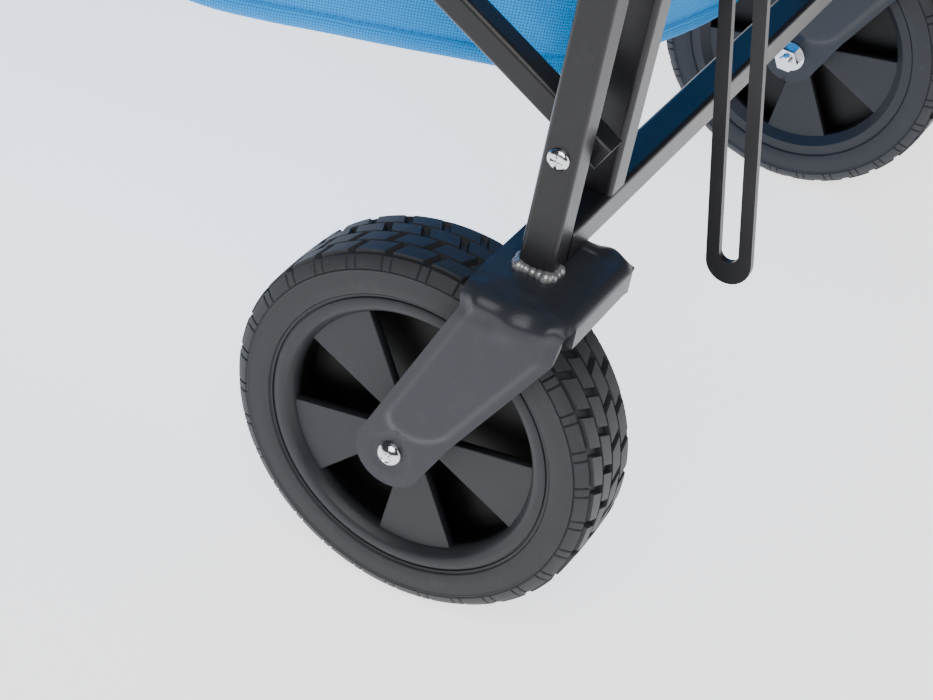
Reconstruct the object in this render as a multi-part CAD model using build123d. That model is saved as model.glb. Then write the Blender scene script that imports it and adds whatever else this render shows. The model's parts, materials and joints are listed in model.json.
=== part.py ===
from build123d import *
import math
import os

# Folding beach cart. Millimetres, +Z up, floor at z = 0, rear end towards +X.
# The origin is on the floor under the middle of the overall box; left is towards -Y.
# Places below are worked out from the middle of the frame, and moved as each node is written.

# ---------------------------------------------------------------- driving dimensions
PIVOT_PITCH = 340.0        # post pivot to the middle of the cart, along X
TRACK = 474.0              # wheel centre to wheel centre, along Y
SCISSOR_ANGLE = 26.9       # slope of the side bars with the cart open, degrees
POST_TUBE = 16.0           # square tube of the posts and rails
BAR_TUBE = 13.0            # square tube of the side bars
TUBE_WALL = 1.5
TUBE_CORNER = 2.6
CAP_THICKNESS = 3.0
PLUG_GAP = 0.2             # plug to the inside of its tube
POST_PLUG_DEPTH = 20.0
BAR_PLUG_DEPTH = 4.0

REAR_WHEEL_RADIUS = 90.0
FRONT_WHEEL_RADIUS = 75.0
TYRE_WIDTH = 44.0
TYRE_DEPTH = 19.5          # tread to rim seat
TREAD_CROWN = 8.0          # height of the shoulder curve
RIM_WALL = 4.5
RIM_LIP = 6.0
RIM_SEAT_GAP = 0.02        # rim to the bead of the tyre
RIM_INSET = 1.0            # rim and bead in from the tyre wall
BARREL_SLOPE = 4.0         # run of the slopes from the lip down to the spokes
BARREL_RISE = 3.5
CROWN_SHARE = 0.45         # flat of the tread in from the wall, as a share of the crown
CROWN_BEVEL = (1.2, 1.6)
SPOKE_COUNT = 5
SPOKE_HALF_ANGLE = 17.8
SPOKE_PHASE = 66.0         # direction of the first spoke, degrees up from +X
RIM_WEB = 3.0              # disc that closes the rim halfway through
SPOKE_RECESS = 4.6
HUB_RADIUS = 15.0
HUB_END_GAP = 2.0          # hub to the inside of an arm, filled by a washer
WASHER_RADIUS = 8.0
AXLE_RADIUS = 4.0
AXLE_OVERHANG = 11.0       # bolt past the inner arm
AXLE_HEAD_RADIUS = 6.2
AXLE_HEAD_HEIGHT = 2.4
AXLE_CROWN_RADIUS = 4.6
AXLE_CROWN_HEIGHT = 1.2
NUT_WASHER_RADIUS = 9.0
NUT_WASHER_THICKNESS = 1.4
AXLE_NUT_RADIUS = 7.3
AXLE_NUT_HEIGHT = 7.0
WASHER_END_GAP = 0.15
RUNNING_GAP = 0.06         # radial clearance of anything that turns on a pin

FORK_SHEET = 3.0
FORK_SIDE_ROOM = 10.0      # tyre wall to the inside of an arm
FORK_BRIDGE_LENGTH = 49.0
FORK_EYE_RADIUS = 17.0
FORK_FLANGE = 14.0
FORK_LEAD = 2.0            # slope of the arm below the flange
FORK_EDGE_RADIUS = 2.4
REAR_TYRE_TO_BRIDGE = 7.0
REAR_AXLE_OFFSET = 35.3    # axle forward of the rear post
POST_TO_BRIDGE_CENTRE = 5.7
FRONT_TRAIL = 32.0
SWIVEL_RADIUS = 15.0
SWIVEL_GAP = 0.4
KINGPIN_RADIUS = 5.0
KINGPIN_LENGTH = 17.0      # pin above the swivel gap
KINGPIN_HEAD_RADIUS = 8.0
KINGPIN_HEAD_HEIGHT = 2.5

PIVOT_ABOVE_CROSSBAR = 39.5
PIVOT_PIN_RADIUS = 2.95
PIVOT_HEAD_RADIUS = 5.0
PIVOT_HEAD_HEIGHT = 2.6
PIVOT_NUT_HEIGHT = 2.6
PIVOT_NUT_RADIUS = 5.5
PIVOT_SPACER_RADIUS = 6.0
RIVET_HEAD_HEIGHT = 1.8
RIVET_NUT_RADIUS = 5.0
OPEN_PIVOT_GAP = 0.10
POST_TO_BAR_GAP = 4.0      # washer between post and outer bars
BAR_TO_BAR_GAP = 0.5
BAR_END = 9.0              # tube past its pivot
SIDE_GAP = 0.3             # clearance between faces that slide past each other

FOLDED_ANGLE = 69.5        # slope of the side bars with the cart folded
SLIDER_TO_RAIL = 3.4       # gap under the top rail with the cart folded
SLIDER_HEIGHT = 36.0
SLIDER_WALL = 2.4
SLIDER_CORNER = 4.0
SLIDER_BOSS_RADIUS = 8.0
SLIDER_PIN_SET_BACK = 0.6  # pin short of the post face
UPRIGHT_GAP = 0.7          # rear upright to the nuts of the inner bars
MID_RAIL_RISE = 138.0      # middle rail above the crossbar

TUB_END_GAP = 12.0         # tub to the posts, at each end
TUB_SIDE_GAP = 5.6         # tub to the nuts of the inner bars
TUB_TO_RAIL = 18.0         # tub rim to the underside of the top rails
TUB_FLOOR_RISE = 2.0       # underside of the tub above the crossbars
TUB_CORNER_RISE = 42.0     # how far its corners are drawn up
CORNER_RUN_X = 185.0       # length of the lifted corner along the side
CORNER_RUN_Y = 180.0       # and along the end
TUB_WALL = 4.0
TUB_CORNER_RADIUS = 30.0
MAT_THICKNESS = 4.0
MAT_MARGIN = 14.0

LINK_OFFSET = 160.0        # slotted link, left of the middle
LINK_WIDTH = 21.0
LINK_THICKNESS = 3.4
LINK_SLOT_WIDTH = 9.0
LINK_TILT = 12.0           # degrees out from vertical at rest
LINK_FOOT_DROP = 168.0     # foot of the link below its pivot
LINK_PIVOT_OUT = 15.0      # pivot behind the rear face of the mid rail
LINK_SLOT_TOP = 22.0       # top of the slot below the pivot
LINK_SLOT_FOOT = 15.0      # foot of the slot above the foot of the link
LINK_EAR_THICKNESS = 2.5
LINK_EAR_RADIUS = 7.0
LINK_PLATE_THICKNESS = 2.0
LINK_RIVET_RADIUS = 4.6
LINK_RIVET_HEIGHT = 2.5
LINK_PIN_OVERHANG = 2.0

HANDLE_PIVOT_OUT = 26.0    # handle pivot ahead of the front crossbar
HANDLE_TUBE_RADIUS = 11.0
HANDLE_INNER_RADIUS = 9.0
HANDLE_LENGTH = 300.0
HANDLE_COLLAR = 24.0
COLLAR_WALL = 3.0
HANDLE_EAR_THICKNESS = 3.0
HANDLE_EAR_RADIUS = 8.0
HANDLE_PIN_RADIUS = 4.0
HANDLE_PIN_OVERHANG = 3.0
HANDLE_HEAD_RADIUS = 6.5
HANDLE_HEAD_HEIGHT = 3.5
HANDLE_SOLID_FOOT = 14.0   # solid end of the lower tube, above the pivot
HANDLE_INNER_WALL = 1.5
HANDLE_INNER_FOOT = 20.0   # upper tube starts this far above the pivot
HANDLE_INNER_TOP = 16.0    # and stands this far out of the lower one
HANDLE_INNER_SOLID = 6.0   # solid top of the upper tube
GRIP_WIDTH = 120.0
GRIP_HEIGHT = 78.0
GRIP_TUBE_RADIUS = 9.0
GRIP_FOOT_SHARE = 0.45     # foot of the grip as a share of its top
GRIP_BEND_RADIUS = 14.0
CUT = 1.0                  # how far cutting tools run past a face

# ---------------------------------------------------------------- derived places
LEFT, RIGHT = -1, 1
SIDES = {"left": LEFT, "right": RIGHT}
HALF_TUBE = POST_TUBE / 2
WHEEL_Y = TRACK / 2
POST_X = PIVOT_PITCH
FORK_WIDTH = TYRE_WIDTH + 2 * (FORK_SIDE_ROOM + FORK_SHEET)
REAR_AXLE_X = POST_X - REAR_AXLE_OFFSET
FRONT_AXLE_X = -POST_X + FRONT_TRAIL
BRIDGE_TOP = REAR_WHEEL_RADIUS * 2 + REAR_TYRE_TO_BRIDGE + FORK_SHEET
CROSSBAR_Z = BRIDGE_TOP + HALF_TUBE
PIVOT_Z = CROSSBAR_Z + HALF_TUBE + PIVOT_ABOVE_CROSSBAR
BAR_RISE = PIVOT_PITCH * math.tan(math.radians(SCISSOR_ANGLE))
BAR_SPAN = PIVOT_PITCH / math.cos(math.radians(SCISSOR_ANGLE))
HIGH_Z = PIVOT_Z + BAR_RISE
CROSSING_Z = PIVOT_Z + BAR_RISE / 2
POST_INNER = WHEEL_Y - HALF_TUBE
POST_OUTER = WHEEL_Y + HALF_TUBE
OUTER_BAR_FACE = POST_INNER - POST_TO_BAR_GAP
OUTER_BAR_Y = OUTER_BAR_FACE - BAR_TUBE / 2
INNER_BAR_Y = OUTER_BAR_Y - BAR_TUBE - BAR_TO_BAR_GAP
INNER_BAR_FACE = INNER_BAR_Y - BAR_TUBE / 2
FOLDED_HIGH_Z = PIVOT_Z + BAR_SPAN * math.sin(math.radians(FOLDED_ANGLE))
RAIL_Z = FOLDED_HIGH_Z + SLIDER_HEIGHT / 2 + SLIDER_TO_RAIL + HALF_TUBE
POST_TOP = RAIL_Z + HALF_TUBE
NUT_FACE = INNER_BAR_FACE - SIDE_GAP - PIVOT_NUT_HEIGHT
UPRIGHT_Y = NUT_FACE - UPRIGHT_GAP - HALF_TUBE
MID_RAIL_Z = CROSSBAR_Z + MID_RAIL_RISE
TUB_LENGTH = 2 * (POST_X - HALF_TUBE - TUB_END_GAP)
TUB_WIDTH = 2 * (NUT_FACE - TUB_SIDE_GAP)
TUB_TOP = RAIL_Z - HALF_TUBE - TUB_TO_RAIL
TUB_FLOOR = CROSSBAR_Z + HALF_TUBE + TUB_FLOOR_RISE
TUB_CORNER_FLOOR = TUB_FLOOR + TUB_CORNER_RISE
HOLE_RADIUS = PIVOT_PIN_RADIUS + RUNNING_GAP
FRONT_BRIDGE_TOP = FRONT_WHEEL_RADIUS * 2 + REAR_TYRE_TO_BRIDGE + FORK_SHEET
MAT_Z = TUB_FLOOR + TUB_WALL + SIDE_GAP
LINK_PIVOT_X = POST_X + HALF_TUBE + LINK_PIVOT_OUT
LINK_PIVOT_Z = MID_RAIL_Z
LINK_REACH = LINK_FOOT_DROP / math.cos(math.radians(LINK_TILT)) - LINK_WIDTH / 2
HANDLE_X = -POST_X - HALF_TUBE - HANDLE_PIVOT_OUT
HANDLE_Z = CROSSBAR_Z
LINK_TIP_X = LINK_PIVOT_X + LINK_REACH * math.sin(math.radians(LINK_TILT)) + LINK_WIDTH / 2
HANDLE_TIP_X = HANDLE_X - HANDLE_TUBE_RADIUS - COLLAR_WALL
BOX_CENTRE_X = (LINK_TIP_X + HANDLE_TIP_X) / 2


# ---------------------------------------------------------------- small shape helpers
def axis_y(radius, y_from, y_to, x, z):
    """Cylinder along Y between two Y values."""
    length = abs(y_to - y_from)
    middle = (y_from + y_to) / 2
    return Pos(x, middle, z) * Rot(90, 0, 0) * Cylinder(radius, length)


def axis_z(radius, z_from, z_to, x, y):
    """Cylinder along Z between two Z values."""
    return Pos(x, y, (z_from + z_to) / 2) * Cylinder(radius, z_to - z_from)


def block(x_from, x_to, y_from, y_to, z_from, z_to):
    """Box between two corners."""
    centre = Pos((x_from + x_to) / 2, (y_from + y_to) / 2, (z_from + z_to) / 2)
    return centre * Box(x_to - x_from, abs(y_to - y_from), z_to - z_from)


def square_tube(size, length):
    """Hollow square tube along Z, centred, with rounded corners."""
    outer = RectangleRounded(size, size, TUBE_CORNER)
    inside = size - 2 * TUBE_WALL
    inner = RectangleRounded(inside, inside, max(TUBE_CORNER - TUBE_WALL, 0.5))
    return extrude(Plane.XY.offset(-length / 2) * (outer - inner), length)


def upright_tube(x, y, z_from, z_to):
    """Square tube standing between two heights."""
    return Pos(x, y, (z_from + z_to) / 2) * square_tube(POST_TUBE, z_to - z_from)


def cross_tube(x, z, y_from, y_to):
    """Square tube lying across the cart."""
    middle = (y_from + y_to) / 2
    return Pos(x, middle, z) * Rot(90, 0, 0) * square_tube(POST_TUBE, y_to - y_from)


def save(name, shape):
    """Write one node, with the overall box centred on the origin."""
    solids = [Pos(-BOX_CENTRE_X, 0, 0) * solid for solid in shape.solids()]
    node = solids[0] if len(solids) == 1 else Compound(children=solids)
    export_step(node, f"parts/{name}.step")


def group(pieces):
    """Several separate solids in one node."""
    solids = []
    for piece in pieces:
        solids.extend(piece.solids())
    return Compound(children=solids)


# ---------------------------------------------------------------- wheels
def tyre(radius, x, y):
    """Tyre with a curved shoulder, as a revolved section."""
    half = TYRE_WIDTH / 2
    seat = radius - TYRE_DEPTH
    shoulder = radius - TREAD_CROWN
    crown_half = half - TREAD_CROWN * CROWN_SHARE
    drop, spread = CROWN_BEVEL
    bead = half - RIM_INSET
    section = make_face(Polyline(
        (seat, -bead), (shoulder, -half), (radius - drop, -crown_half - spread), (radius, -crown_half),
        (radius, crown_half), (radius - drop, crown_half + spread), (shoulder, half), (seat, bead),
        close=True))
    ring = revolve(Plane.XZ * section, Axis.Z)
    return Pos(x, y, radius) * Rot(90, 0, 0) * ring


def rim(radius, x, y):
    """Moulded rim: barrel with lips, wedge spokes and a bored hub."""
    seat = radius - TYRE_DEPTH - RIM_SEAT_GAP
    half = TYRE_WIDTH / 2 - RIM_INSET
    inner = seat - RIM_WALL
    lip = seat - RIM_LIP
    spoke_half = half - SPOKE_RECESS
    ledge = inner - BARREL_RISE
    flat = spoke_half - BARREL_SLOPE
    barrel = make_face(Polyline(
        (ledge, -spoke_half), (lip, -half), (seat, -half), (seat, half), (lip, half),
        (ledge, spoke_half), (inner, flat), (inner, -flat), close=True))
    body = revolve(Plane.XZ * barrel, Axis.Z)
    reach = inner + RIM_WALL / 2
    angle = math.radians(SPOKE_HALF_ANGLE)
    wedge = make_face(Polyline(
        (0, 0), (reach * math.cos(angle), -reach * math.sin(angle)), (reach, 0),
        (reach * math.cos(angle), reach * math.sin(angle)), close=True))
    spoke = extrude(Plane.XY.offset(-spoke_half) * wedge, 2 * spoke_half)
    for index in range(SPOKE_COUNT):
        body += Rot(0, 0, SPOKE_PHASE + index * 360 / SPOKE_COUNT) * spoke
    body += Cylinder(reach, RIM_WEB)
    body += Cylinder(HUB_RADIUS, FORK_WIDTH - 2 * FORK_SHEET - 2 * HUB_END_GAP)
    body -= Cylinder(AXLE_RADIUS + RUNNING_GAP, FORK_WIDTH)
    return Pos(x, y, radius) * Rot(90, 0, 0) * body


def axle_bolt(x, z, side):
    """Dome-headed axle bolt, head on the outer arm."""
    outer = side * (WHEEL_Y + FORK_WIDTH / 2)
    inner = side * (WHEEL_Y - FORK_WIDTH / 2)
    head_face = outer + side * AXLE_HEAD_HEIGHT
    shank = axis_y(AXLE_RADIUS, outer, inner - side * AXLE_OVERHANG, x, z)
    head = axis_y(AXLE_HEAD_RADIUS, outer, head_face, x, z)
    crown = axis_y(AXLE_CROWN_RADIUS, head_face, head_face + side * AXLE_CROWN_HEIGHT, x, z)
    return shank + head + crown


def axle_nut(x, z, side):
    """Washer and locking nut on the inner arm."""
    face = side * (WHEEL_Y - FORK_WIDTH / 2)
    half = AXLE_NUT_HEIGHT / 2
    washer = axis_y(NUT_WASHER_RADIUS, face, face - side * NUT_WASHER_THICKNESS, x, z)
    prism = extrude(RegularPolygon(AXLE_NUT_RADIUS, 6), AXLE_NUT_HEIGHT)
    nut = Pos(x, face - side * (NUT_WASHER_THICKNESS + half), z) * Rot(90, 0, 0) * Pos(0, 0, -half) * prism
    end_face = face - side * (NUT_WASHER_THICKNESS + AXLE_NUT_HEIGHT + CUT)
    return washer + nut - axis_y(AXLE_RADIUS, face + side * CUT, end_face, x, z)


# ---------------------------------------------------------------- forks
def fork_arm_outline(drop, left, right):
    """Arm outline in XZ about the axle: an eye below, widening to the bridge above."""
    eye = FORK_EYE_RADIUS
    low = make_face(Polyline(
        (-eye * 0.86, eye * 0.5), (left, drop), (right, drop), (right - FORK_LEAD, drop - FORK_FLANGE),
        (eye * 0.90, -eye * 0.42), close=True))
    return low + Circle(eye)


def fork(x_axle, y, z_axle, drop, left, right, swivel_x=None):
    """Pressed U fork: two arms, a bridge over the tyre and a rear flange."""
    outline = fork_arm_outline(drop, left, right)
    arm = extrude(Plane.XZ * outline, FORK_SHEET / 2, both=True)
    half = FORK_WIDTH / 2 - FORK_SHEET / 2
    body = Pos(0, -half, 0) * arm + Pos(0, half, 0) * arm
    edge = FORK_WIDTH / 2
    body += block(left, right, -edge, edge, drop - FORK_SHEET, drop)
    body += block(right - FORK_SHEET, right, -edge, edge, drop - FORK_FLANGE, drop)
    top_edges = body.edges().filter_by(Axis.X).group_by(Axis.Z)[-1]
    long_edges = top_edges.filter_by(lambda line: abs(abs(line.center().Y) - edge) < 0.01)
    body = fillet(long_edges, FORK_EDGE_RADIUS)
    body -= axis_y(AXLE_RADIUS + RUNNING_GAP, -edge - CUT, edge + CUT, 0, 0)
    if swivel_x is not None:
        body -= axis_z(KINGPIN_RADIUS + RUNNING_GAP, drop - FORK_SHEET - CUT, drop + CUT, swivel_x, 0)
    return Pos(x_axle, y, z_axle) * body


def rear_fork(side):
    """Rear fork, fixed under its post."""
    left = REAR_AXLE_OFFSET + POST_TO_BRIDGE_CENTRE - FORK_BRIDGE_LENGTH / 2
    drop = BRIDGE_TOP - REAR_WHEEL_RADIUS
    return fork(REAR_AXLE_X, side * WHEEL_Y, REAR_WHEEL_RADIUS, drop, left, left + FORK_BRIDGE_LENGTH)


def caster_fork(side):
    """Front fork: the kingpin stands ahead of the axle, so the wheel trails."""
    drop = FRONT_BRIDGE_TOP - FRONT_WHEEL_RADIUS
    half = FORK_BRIDGE_LENGTH / 2
    body = fork(0, 0, 0, drop, FRONT_TRAIL - half, FRONT_TRAIL + half, FRONT_TRAIL)
    turned = Rot(0, 0, 180) * body
    return Pos(FRONT_AXLE_X, side * WHEEL_Y, FRONT_WHEEL_RADIUS) * turned


def wheel_spacers(x, z, side):
    """Washers between the hub and the arms."""
    pieces = []
    inside = FORK_WIDTH / 2 - FORK_SHEET
    hub = inside - HUB_END_GAP
    y = WHEEL_Y * side
    for sign in (-1, 1):
        ring = axis_y(WASHER_RADIUS, y + sign * (hub + WASHER_END_GAP), y + sign * inside, x, z)
        pieces.append(ring - axis_y(AXLE_RADIUS, y - FORK_WIDTH, y + FORK_WIDTH, x, z))
    return pieces


# ---------------------------------------------------------------- end frames
def end_post(end, side):
    """Corner post with its pivot hole; the rear one stands on the fork bridge."""
    foot = BRIDGE_TOP if end > 0 else CROSSBAR_Z - HALF_TUBE
    body = upright_tube(end * POST_X, side * WHEEL_Y, foot, POST_TOP)
    start = side * (POST_INNER - CUT)
    return body - axis_y(HOLE_RADIUS, start, side * (POST_OUTER + CUT), end * POST_X, PIVOT_Z)


def post_cap(end, side):
    """Plastic plug on top of a post."""
    x = end * POST_X
    y = side * WHEEL_Y
    top = Pos(x, y, POST_TOP) * extrude(RectangleRounded(POST_TUBE, POST_TUBE, TUBE_CORNER), CAP_THICKNESS)
    inside = POST_TUBE - 2 * TUBE_WALL - PLUG_GAP
    profile = RectangleRounded(inside, inside, TUBE_CORNER)
    plug = Pos(x, y, POST_TOP - POST_PLUG_DEPTH) * extrude(profile, POST_PLUG_DEPTH)
    return top + plug


def pivot_bolt(end, side, bar_y):
    """Bolt through the post, spacer and bar, with its nut inside the bar."""
    x = end * POST_X
    bar_in = side * (bar_y - BAR_TUBE / 2)
    outer = side * POST_OUTER
    head = axis_y(PIVOT_HEAD_RADIUS, outer, outer + side * PIVOT_HEAD_HEIGHT, x, PIVOT_Z)
    end_y = bar_in - side * (SIDE_GAP + PIVOT_NUT_HEIGHT)
    shank = axis_y(PIVOT_PIN_RADIUS, outer, end_y, x, PIVOT_Z)
    nut = axis_y(PIVOT_NUT_RADIUS, bar_in - side * SIDE_GAP, end_y, x, PIVOT_Z)
    bar_out = side * (bar_y + BAR_TUBE / 2 + SIDE_GAP)
    spacer = axis_y(PIVOT_SPACER_RADIUS, side * POST_INNER, bar_out, x, PIVOT_Z)
    return head + shank + nut + spacer


def swivel_housing(side):
    """Turned boss under the front post that carries the kingpin."""
    top = CROSSBAR_Z - HALF_TUBE
    bottom = FRONT_BRIDGE_TOP + SWIVEL_GAP
    x = -POST_X
    y = side * WHEEL_Y
    boss = axis_z(SWIVEL_RADIUS, bottom, top, x, y)
    return boss - axis_z(KINGPIN_RADIUS + RUNNING_GAP, bottom - CUT, bottom + KINGPIN_LENGTH + CUT, x, y)


def kingpin(side):
    """Kingpin riveted in the caster fork."""
    x = -POST_X
    y = side * WHEEL_Y
    under = FRONT_BRIDGE_TOP - FORK_SHEET
    low = under - KINGPIN_HEAD_HEIGHT
    pin = axis_z(KINGPIN_RADIUS, low, FRONT_BRIDGE_TOP + SWIVEL_GAP + KINGPIN_LENGTH, x, y)
    return pin + axis_z(KINGPIN_HEAD_RADIUS, low, under, x, y)


# ---------------------------------------------------------------- side scissors
def bar(x, y, slope, first_gap, last_gap):
    """Square side bar about its middle, with pivot holes; slope in degrees about Y."""
    tube = Rot(0, 90, 0) * square_tube(BAR_TUBE, BAR_SPAN + 2 * BAR_END)
    for offset, gap in ((-BAR_SPAN / 2, first_gap), (0, RUNNING_GAP), (BAR_SPAN / 2, last_gap)):
        tube -= axis_y(PIVOT_PIN_RADIUS + gap, -BAR_TUBE, BAR_TUBE, offset, 0)
    return Pos(x, y, CROSSING_Z) * Rot(0, slope, 0) * tube


def bar_caps(x, y, slope):
    """Plastic plugs in both ends of a side bar."""
    pieces = []
    inside = BAR_TUBE - 2 * TUBE_WALL - PLUG_GAP
    for sign in (-1, 1):
        tip = sign * (BAR_SPAN / 2 + BAR_END)
        cap = Pos(tip + sign * CAP_THICKNESS / 2, 0, 0) * Box(CAP_THICKNESS, BAR_TUBE, BAR_TUBE)
        cap = fillet(cap.edges().filter_by(Axis.X), TUBE_CORNER)
        profile = Plane.YZ.offset(tip) * RectangleRounded(inside, inside, TUBE_CORNER)
        plug = extrude(profile, -sign * BAR_PLUG_DEPTH)
        pieces.append(Pos(x, y, CROSSING_Z) * Rot(0, slope, 0) * (cap + plug))
    return pieces


def hub_pin(x, z, side, radius):
    """Rivet through an outer and an inner bar."""
    outer = side * OUTER_BAR_FACE
    inner = side * INNER_BAR_FACE
    end_y = inner - side * (SIDE_GAP + PIVOT_NUT_HEIGHT)
    head = axis_y(PIVOT_HEAD_RADIUS, outer, outer + side * RIVET_HEAD_HEIGHT, x, z)
    nut = axis_y(RIVET_NUT_RADIUS, inner - side * SIDE_GAP, end_y, x, z)
    return head + axis_y(radius, outer, end_y, x, z) + nut


def slider(end, side, bar_y):
    """Sleeve that rides on a post, with a boss that reaches its bar."""
    x = end * POST_X
    y = side * WHEEL_Y
    bore = POST_TUBE + 2 * SIDE_GAP
    outside = bore + 2 * SLIDER_WALL
    profile = RectangleRounded(outside, outside, SLIDER_CORNER) - RectangleRounded(bore, bore, TUBE_CORNER)
    sleeve = Pos(x, y, HIGH_Z - SLIDER_HEIGHT / 2) * extrude(profile, SLIDER_HEIGHT)
    inner_face = side * (WHEEL_Y - outside / 2)
    bar_face = side * (bar_y + BAR_TUBE / 2 + SIDE_GAP)
    boss = axis_y(SLIDER_BOSS_RADIUS, inner_face, bar_face, x, HIGH_Z)
    bore_hole = axis_y(PIVOT_PIN_RADIUS, side * (WHEEL_Y - bore / 2), bar_face - side * CUT, x, HIGH_Z)
    return sleeve + boss - bore_hole


def slider_pin(end, side, bar_y):
    """Pin fixed in a slider boss, through its bar."""
    x = end * POST_X
    start = side * (POST_INNER - SIDE_GAP - SLIDER_PIN_SET_BACK)
    bar_in = side * (bar_y - BAR_TUBE / 2)
    end_y = bar_in - side * (SIDE_GAP + PIVOT_NUT_HEIGHT)
    nut = axis_y(RIVET_NUT_RADIUS, bar_in - side * SIDE_GAP, end_y, x, HIGH_Z)
    return axis_y(PIVOT_PIN_RADIUS, start, end_y, x, HIGH_Z) + nut


# ---------------------------------------------------------------- fold lock link
def lock_link():
    """Slotted flat link, hanging from its pivot and tilted out."""
    slab = Pos(0, 0, -LINK_REACH / 2) * Box(LINK_WIDTH, LINK_THICKNESS, LINK_REACH)
    slab += axis_y(LINK_WIDTH / 2, -LINK_THICKNESS / 2, LINK_THICKNESS / 2, 0, 0)
    slab += axis_y(LINK_WIDTH / 2, -LINK_THICKNESS / 2, LINK_THICKNESS / 2, 0, -LINK_REACH)
    slot_foot = -LINK_REACH - LINK_WIDTH / 2 + LINK_SLOT_FOOT
    half = LINK_SLOT_WIDTH / 2
    slot = block(-half, half, -LINK_THICKNESS, LINK_THICKNESS, slot_foot, -LINK_SLOT_TOP)
    for z in (-LINK_SLOT_TOP, slot_foot):
        slot += axis_y(half, -LINK_THICKNESS, LINK_THICKNESS, 0, z)
    slab -= slot
    slab -= axis_y(HOLE_RADIUS, -LINK_THICKNESS, LINK_THICKNESS, 0, 0)
    return Pos(LINK_PIVOT_X, -LINK_OFFSET, LINK_PIVOT_Z) * Rot(0, -LINK_TILT, 0) * slab


def link_bracket():
    """Clevis on the mid rail that carries the link pin."""
    inside = LINK_THICKNESS / 2 + SIDE_GAP
    outside = inside + LINK_EAR_THICKNESS
    face = POST_X + HALF_TUBE
    low = LINK_PIVOT_Z - LINK_EAR_RADIUS
    high = LINK_PIVOT_Z + LINK_EAR_RADIUS
    pieces = block(face, face + LINK_PLATE_THICKNESS, -outside, outside, low, high)
    for sign in (-1, 1):
        pieces += block(face, LINK_PIVOT_X, sign * inside, sign * outside, low, high)
        pieces += axis_y(LINK_EAR_RADIUS, sign * inside, sign * outside, LINK_PIVOT_X, LINK_PIVOT_Z)
    tip = outside + LINK_PIN_OVERHANG
    pieces += axis_y(PIVOT_PIN_RADIUS, -tip, tip, LINK_PIVOT_X, LINK_PIVOT_Z)
    pieces += axis_y(LINK_RIVET_RADIUS, -outside - LINK_RIVET_HEIGHT, -outside, LINK_PIVOT_X, LINK_PIVOT_Z)
    return Pos(0, -LINK_OFFSET, 0) * pieces


# ---------------------------------------------------------------- pull handle
def handle_bracket():
    """Clevis on the front crossbar."""
    inside = HANDLE_TUBE_RADIUS + SIDE_GAP
    outside = inside + HANDLE_EAR_THICKNESS
    back = -POST_X - HALF_TUBE
    low = HANDLE_Z - HANDLE_EAR_RADIUS
    high = HANDLE_Z + HANDLE_EAR_RADIUS
    body = block(back - HANDLE_EAR_THICKNESS, back, -outside, outside, low, high)
    for sign in (-1, 1):
        body += block(HANDLE_X, back, sign * inside, sign * outside, low, high)
        body += axis_y(HANDLE_EAR_RADIUS, sign * inside, sign * outside, HANDLE_X, HANDLE_Z)
    tip = outside + HANDLE_PIN_OVERHANG
    body += axis_y(HANDLE_PIN_RADIUS, -tip, tip, HANDLE_X, HANDLE_Z)
    body += axis_y(HANDLE_HEAD_RADIUS, -outside - HANDLE_HEAD_HEIGHT, -outside, HANDLE_X, HANDLE_Z)
    return body


def handle_tube():
    """Lower handle tube with its eye."""
    top = HANDLE_Z + HANDLE_LENGTH
    bore = HANDLE_INNER_RADIUS + SIDE_GAP
    body = axis_z(HANDLE_TUBE_RADIUS, HANDLE_Z, top, HANDLE_X, 0)
    body += axis_y(HANDLE_TUBE_RADIUS, -HANDLE_TUBE_RADIUS, HANDLE_TUBE_RADIUS, HANDLE_X, HANDLE_Z)
    body -= axis_z(bore, HANDLE_Z + HANDLE_SOLID_FOOT, top + CUT, HANDLE_X, 0)
    reach = HANDLE_TUBE_RADIUS + CUT
    return body - axis_y(HANDLE_PIN_RADIUS + RUNNING_GAP, -reach, reach, HANDLE_X, HANDLE_Z)


def handle_collar():
    """Plastic collar at the mouth of the lower tube."""
    top = HANDLE_Z + HANDLE_LENGTH
    foot = top - HANDLE_COLLAR
    body = axis_z(HANDLE_TUBE_RADIUS + COLLAR_WALL, foot, top + COLLAR_WALL, HANDLE_X, 0)
    body -= axis_z(HANDLE_TUBE_RADIUS, foot - CUT, top, HANDLE_X, 0)
    return body - axis_z(HANDLE_INNER_RADIUS + SIDE_GAP, top - CUT, top + COLLAR_WALL + CUT, HANDLE_X, 0)


def handle_inner():
    """Sliding upper tube."""
    foot = HANDLE_Z + HANDLE_INNER_FOOT
    top = HANDLE_Z + HANDLE_LENGTH + HANDLE_INNER_TOP
    body = axis_z(HANDLE_INNER_RADIUS, foot, top, HANDLE_X, 0)
    bore = HANDLE_INNER_RADIUS - HANDLE_INNER_WALL
    return body - axis_z(bore, foot - CUT, top - HANDLE_INNER_SOLID, HANDLE_X, 0)


def handle_grip():
    """Rounded D grip on the upper tube."""
    foot = HANDLE_Z + HANDLE_LENGTH + HANDLE_INNER_TOP
    half = GRIP_WIDTH / 2 - GRIP_TUBE_RADIUS
    low = foot + GRIP_TUBE_RADIUS
    high = foot + GRIP_HEIGHT - GRIP_TUBE_RADIUS
    narrow = half * GRIP_FOOT_SHARE
    path = FilletPolyline((narrow, low), (half, high), (-half, high), (-narrow, low),
                          radius=GRIP_BEND_RADIUS, close=True)
    outline = Plane(origin=(HANDLE_X, 0, 0), x_dir=(0, 1, 0), z_dir=(1, 0, 0)) * path
    section = Plane(origin=outline @ 0, z_dir=outline % 0) * Circle(GRIP_TUBE_RADIUS)
    return sweep(section, path=outline)


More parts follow.
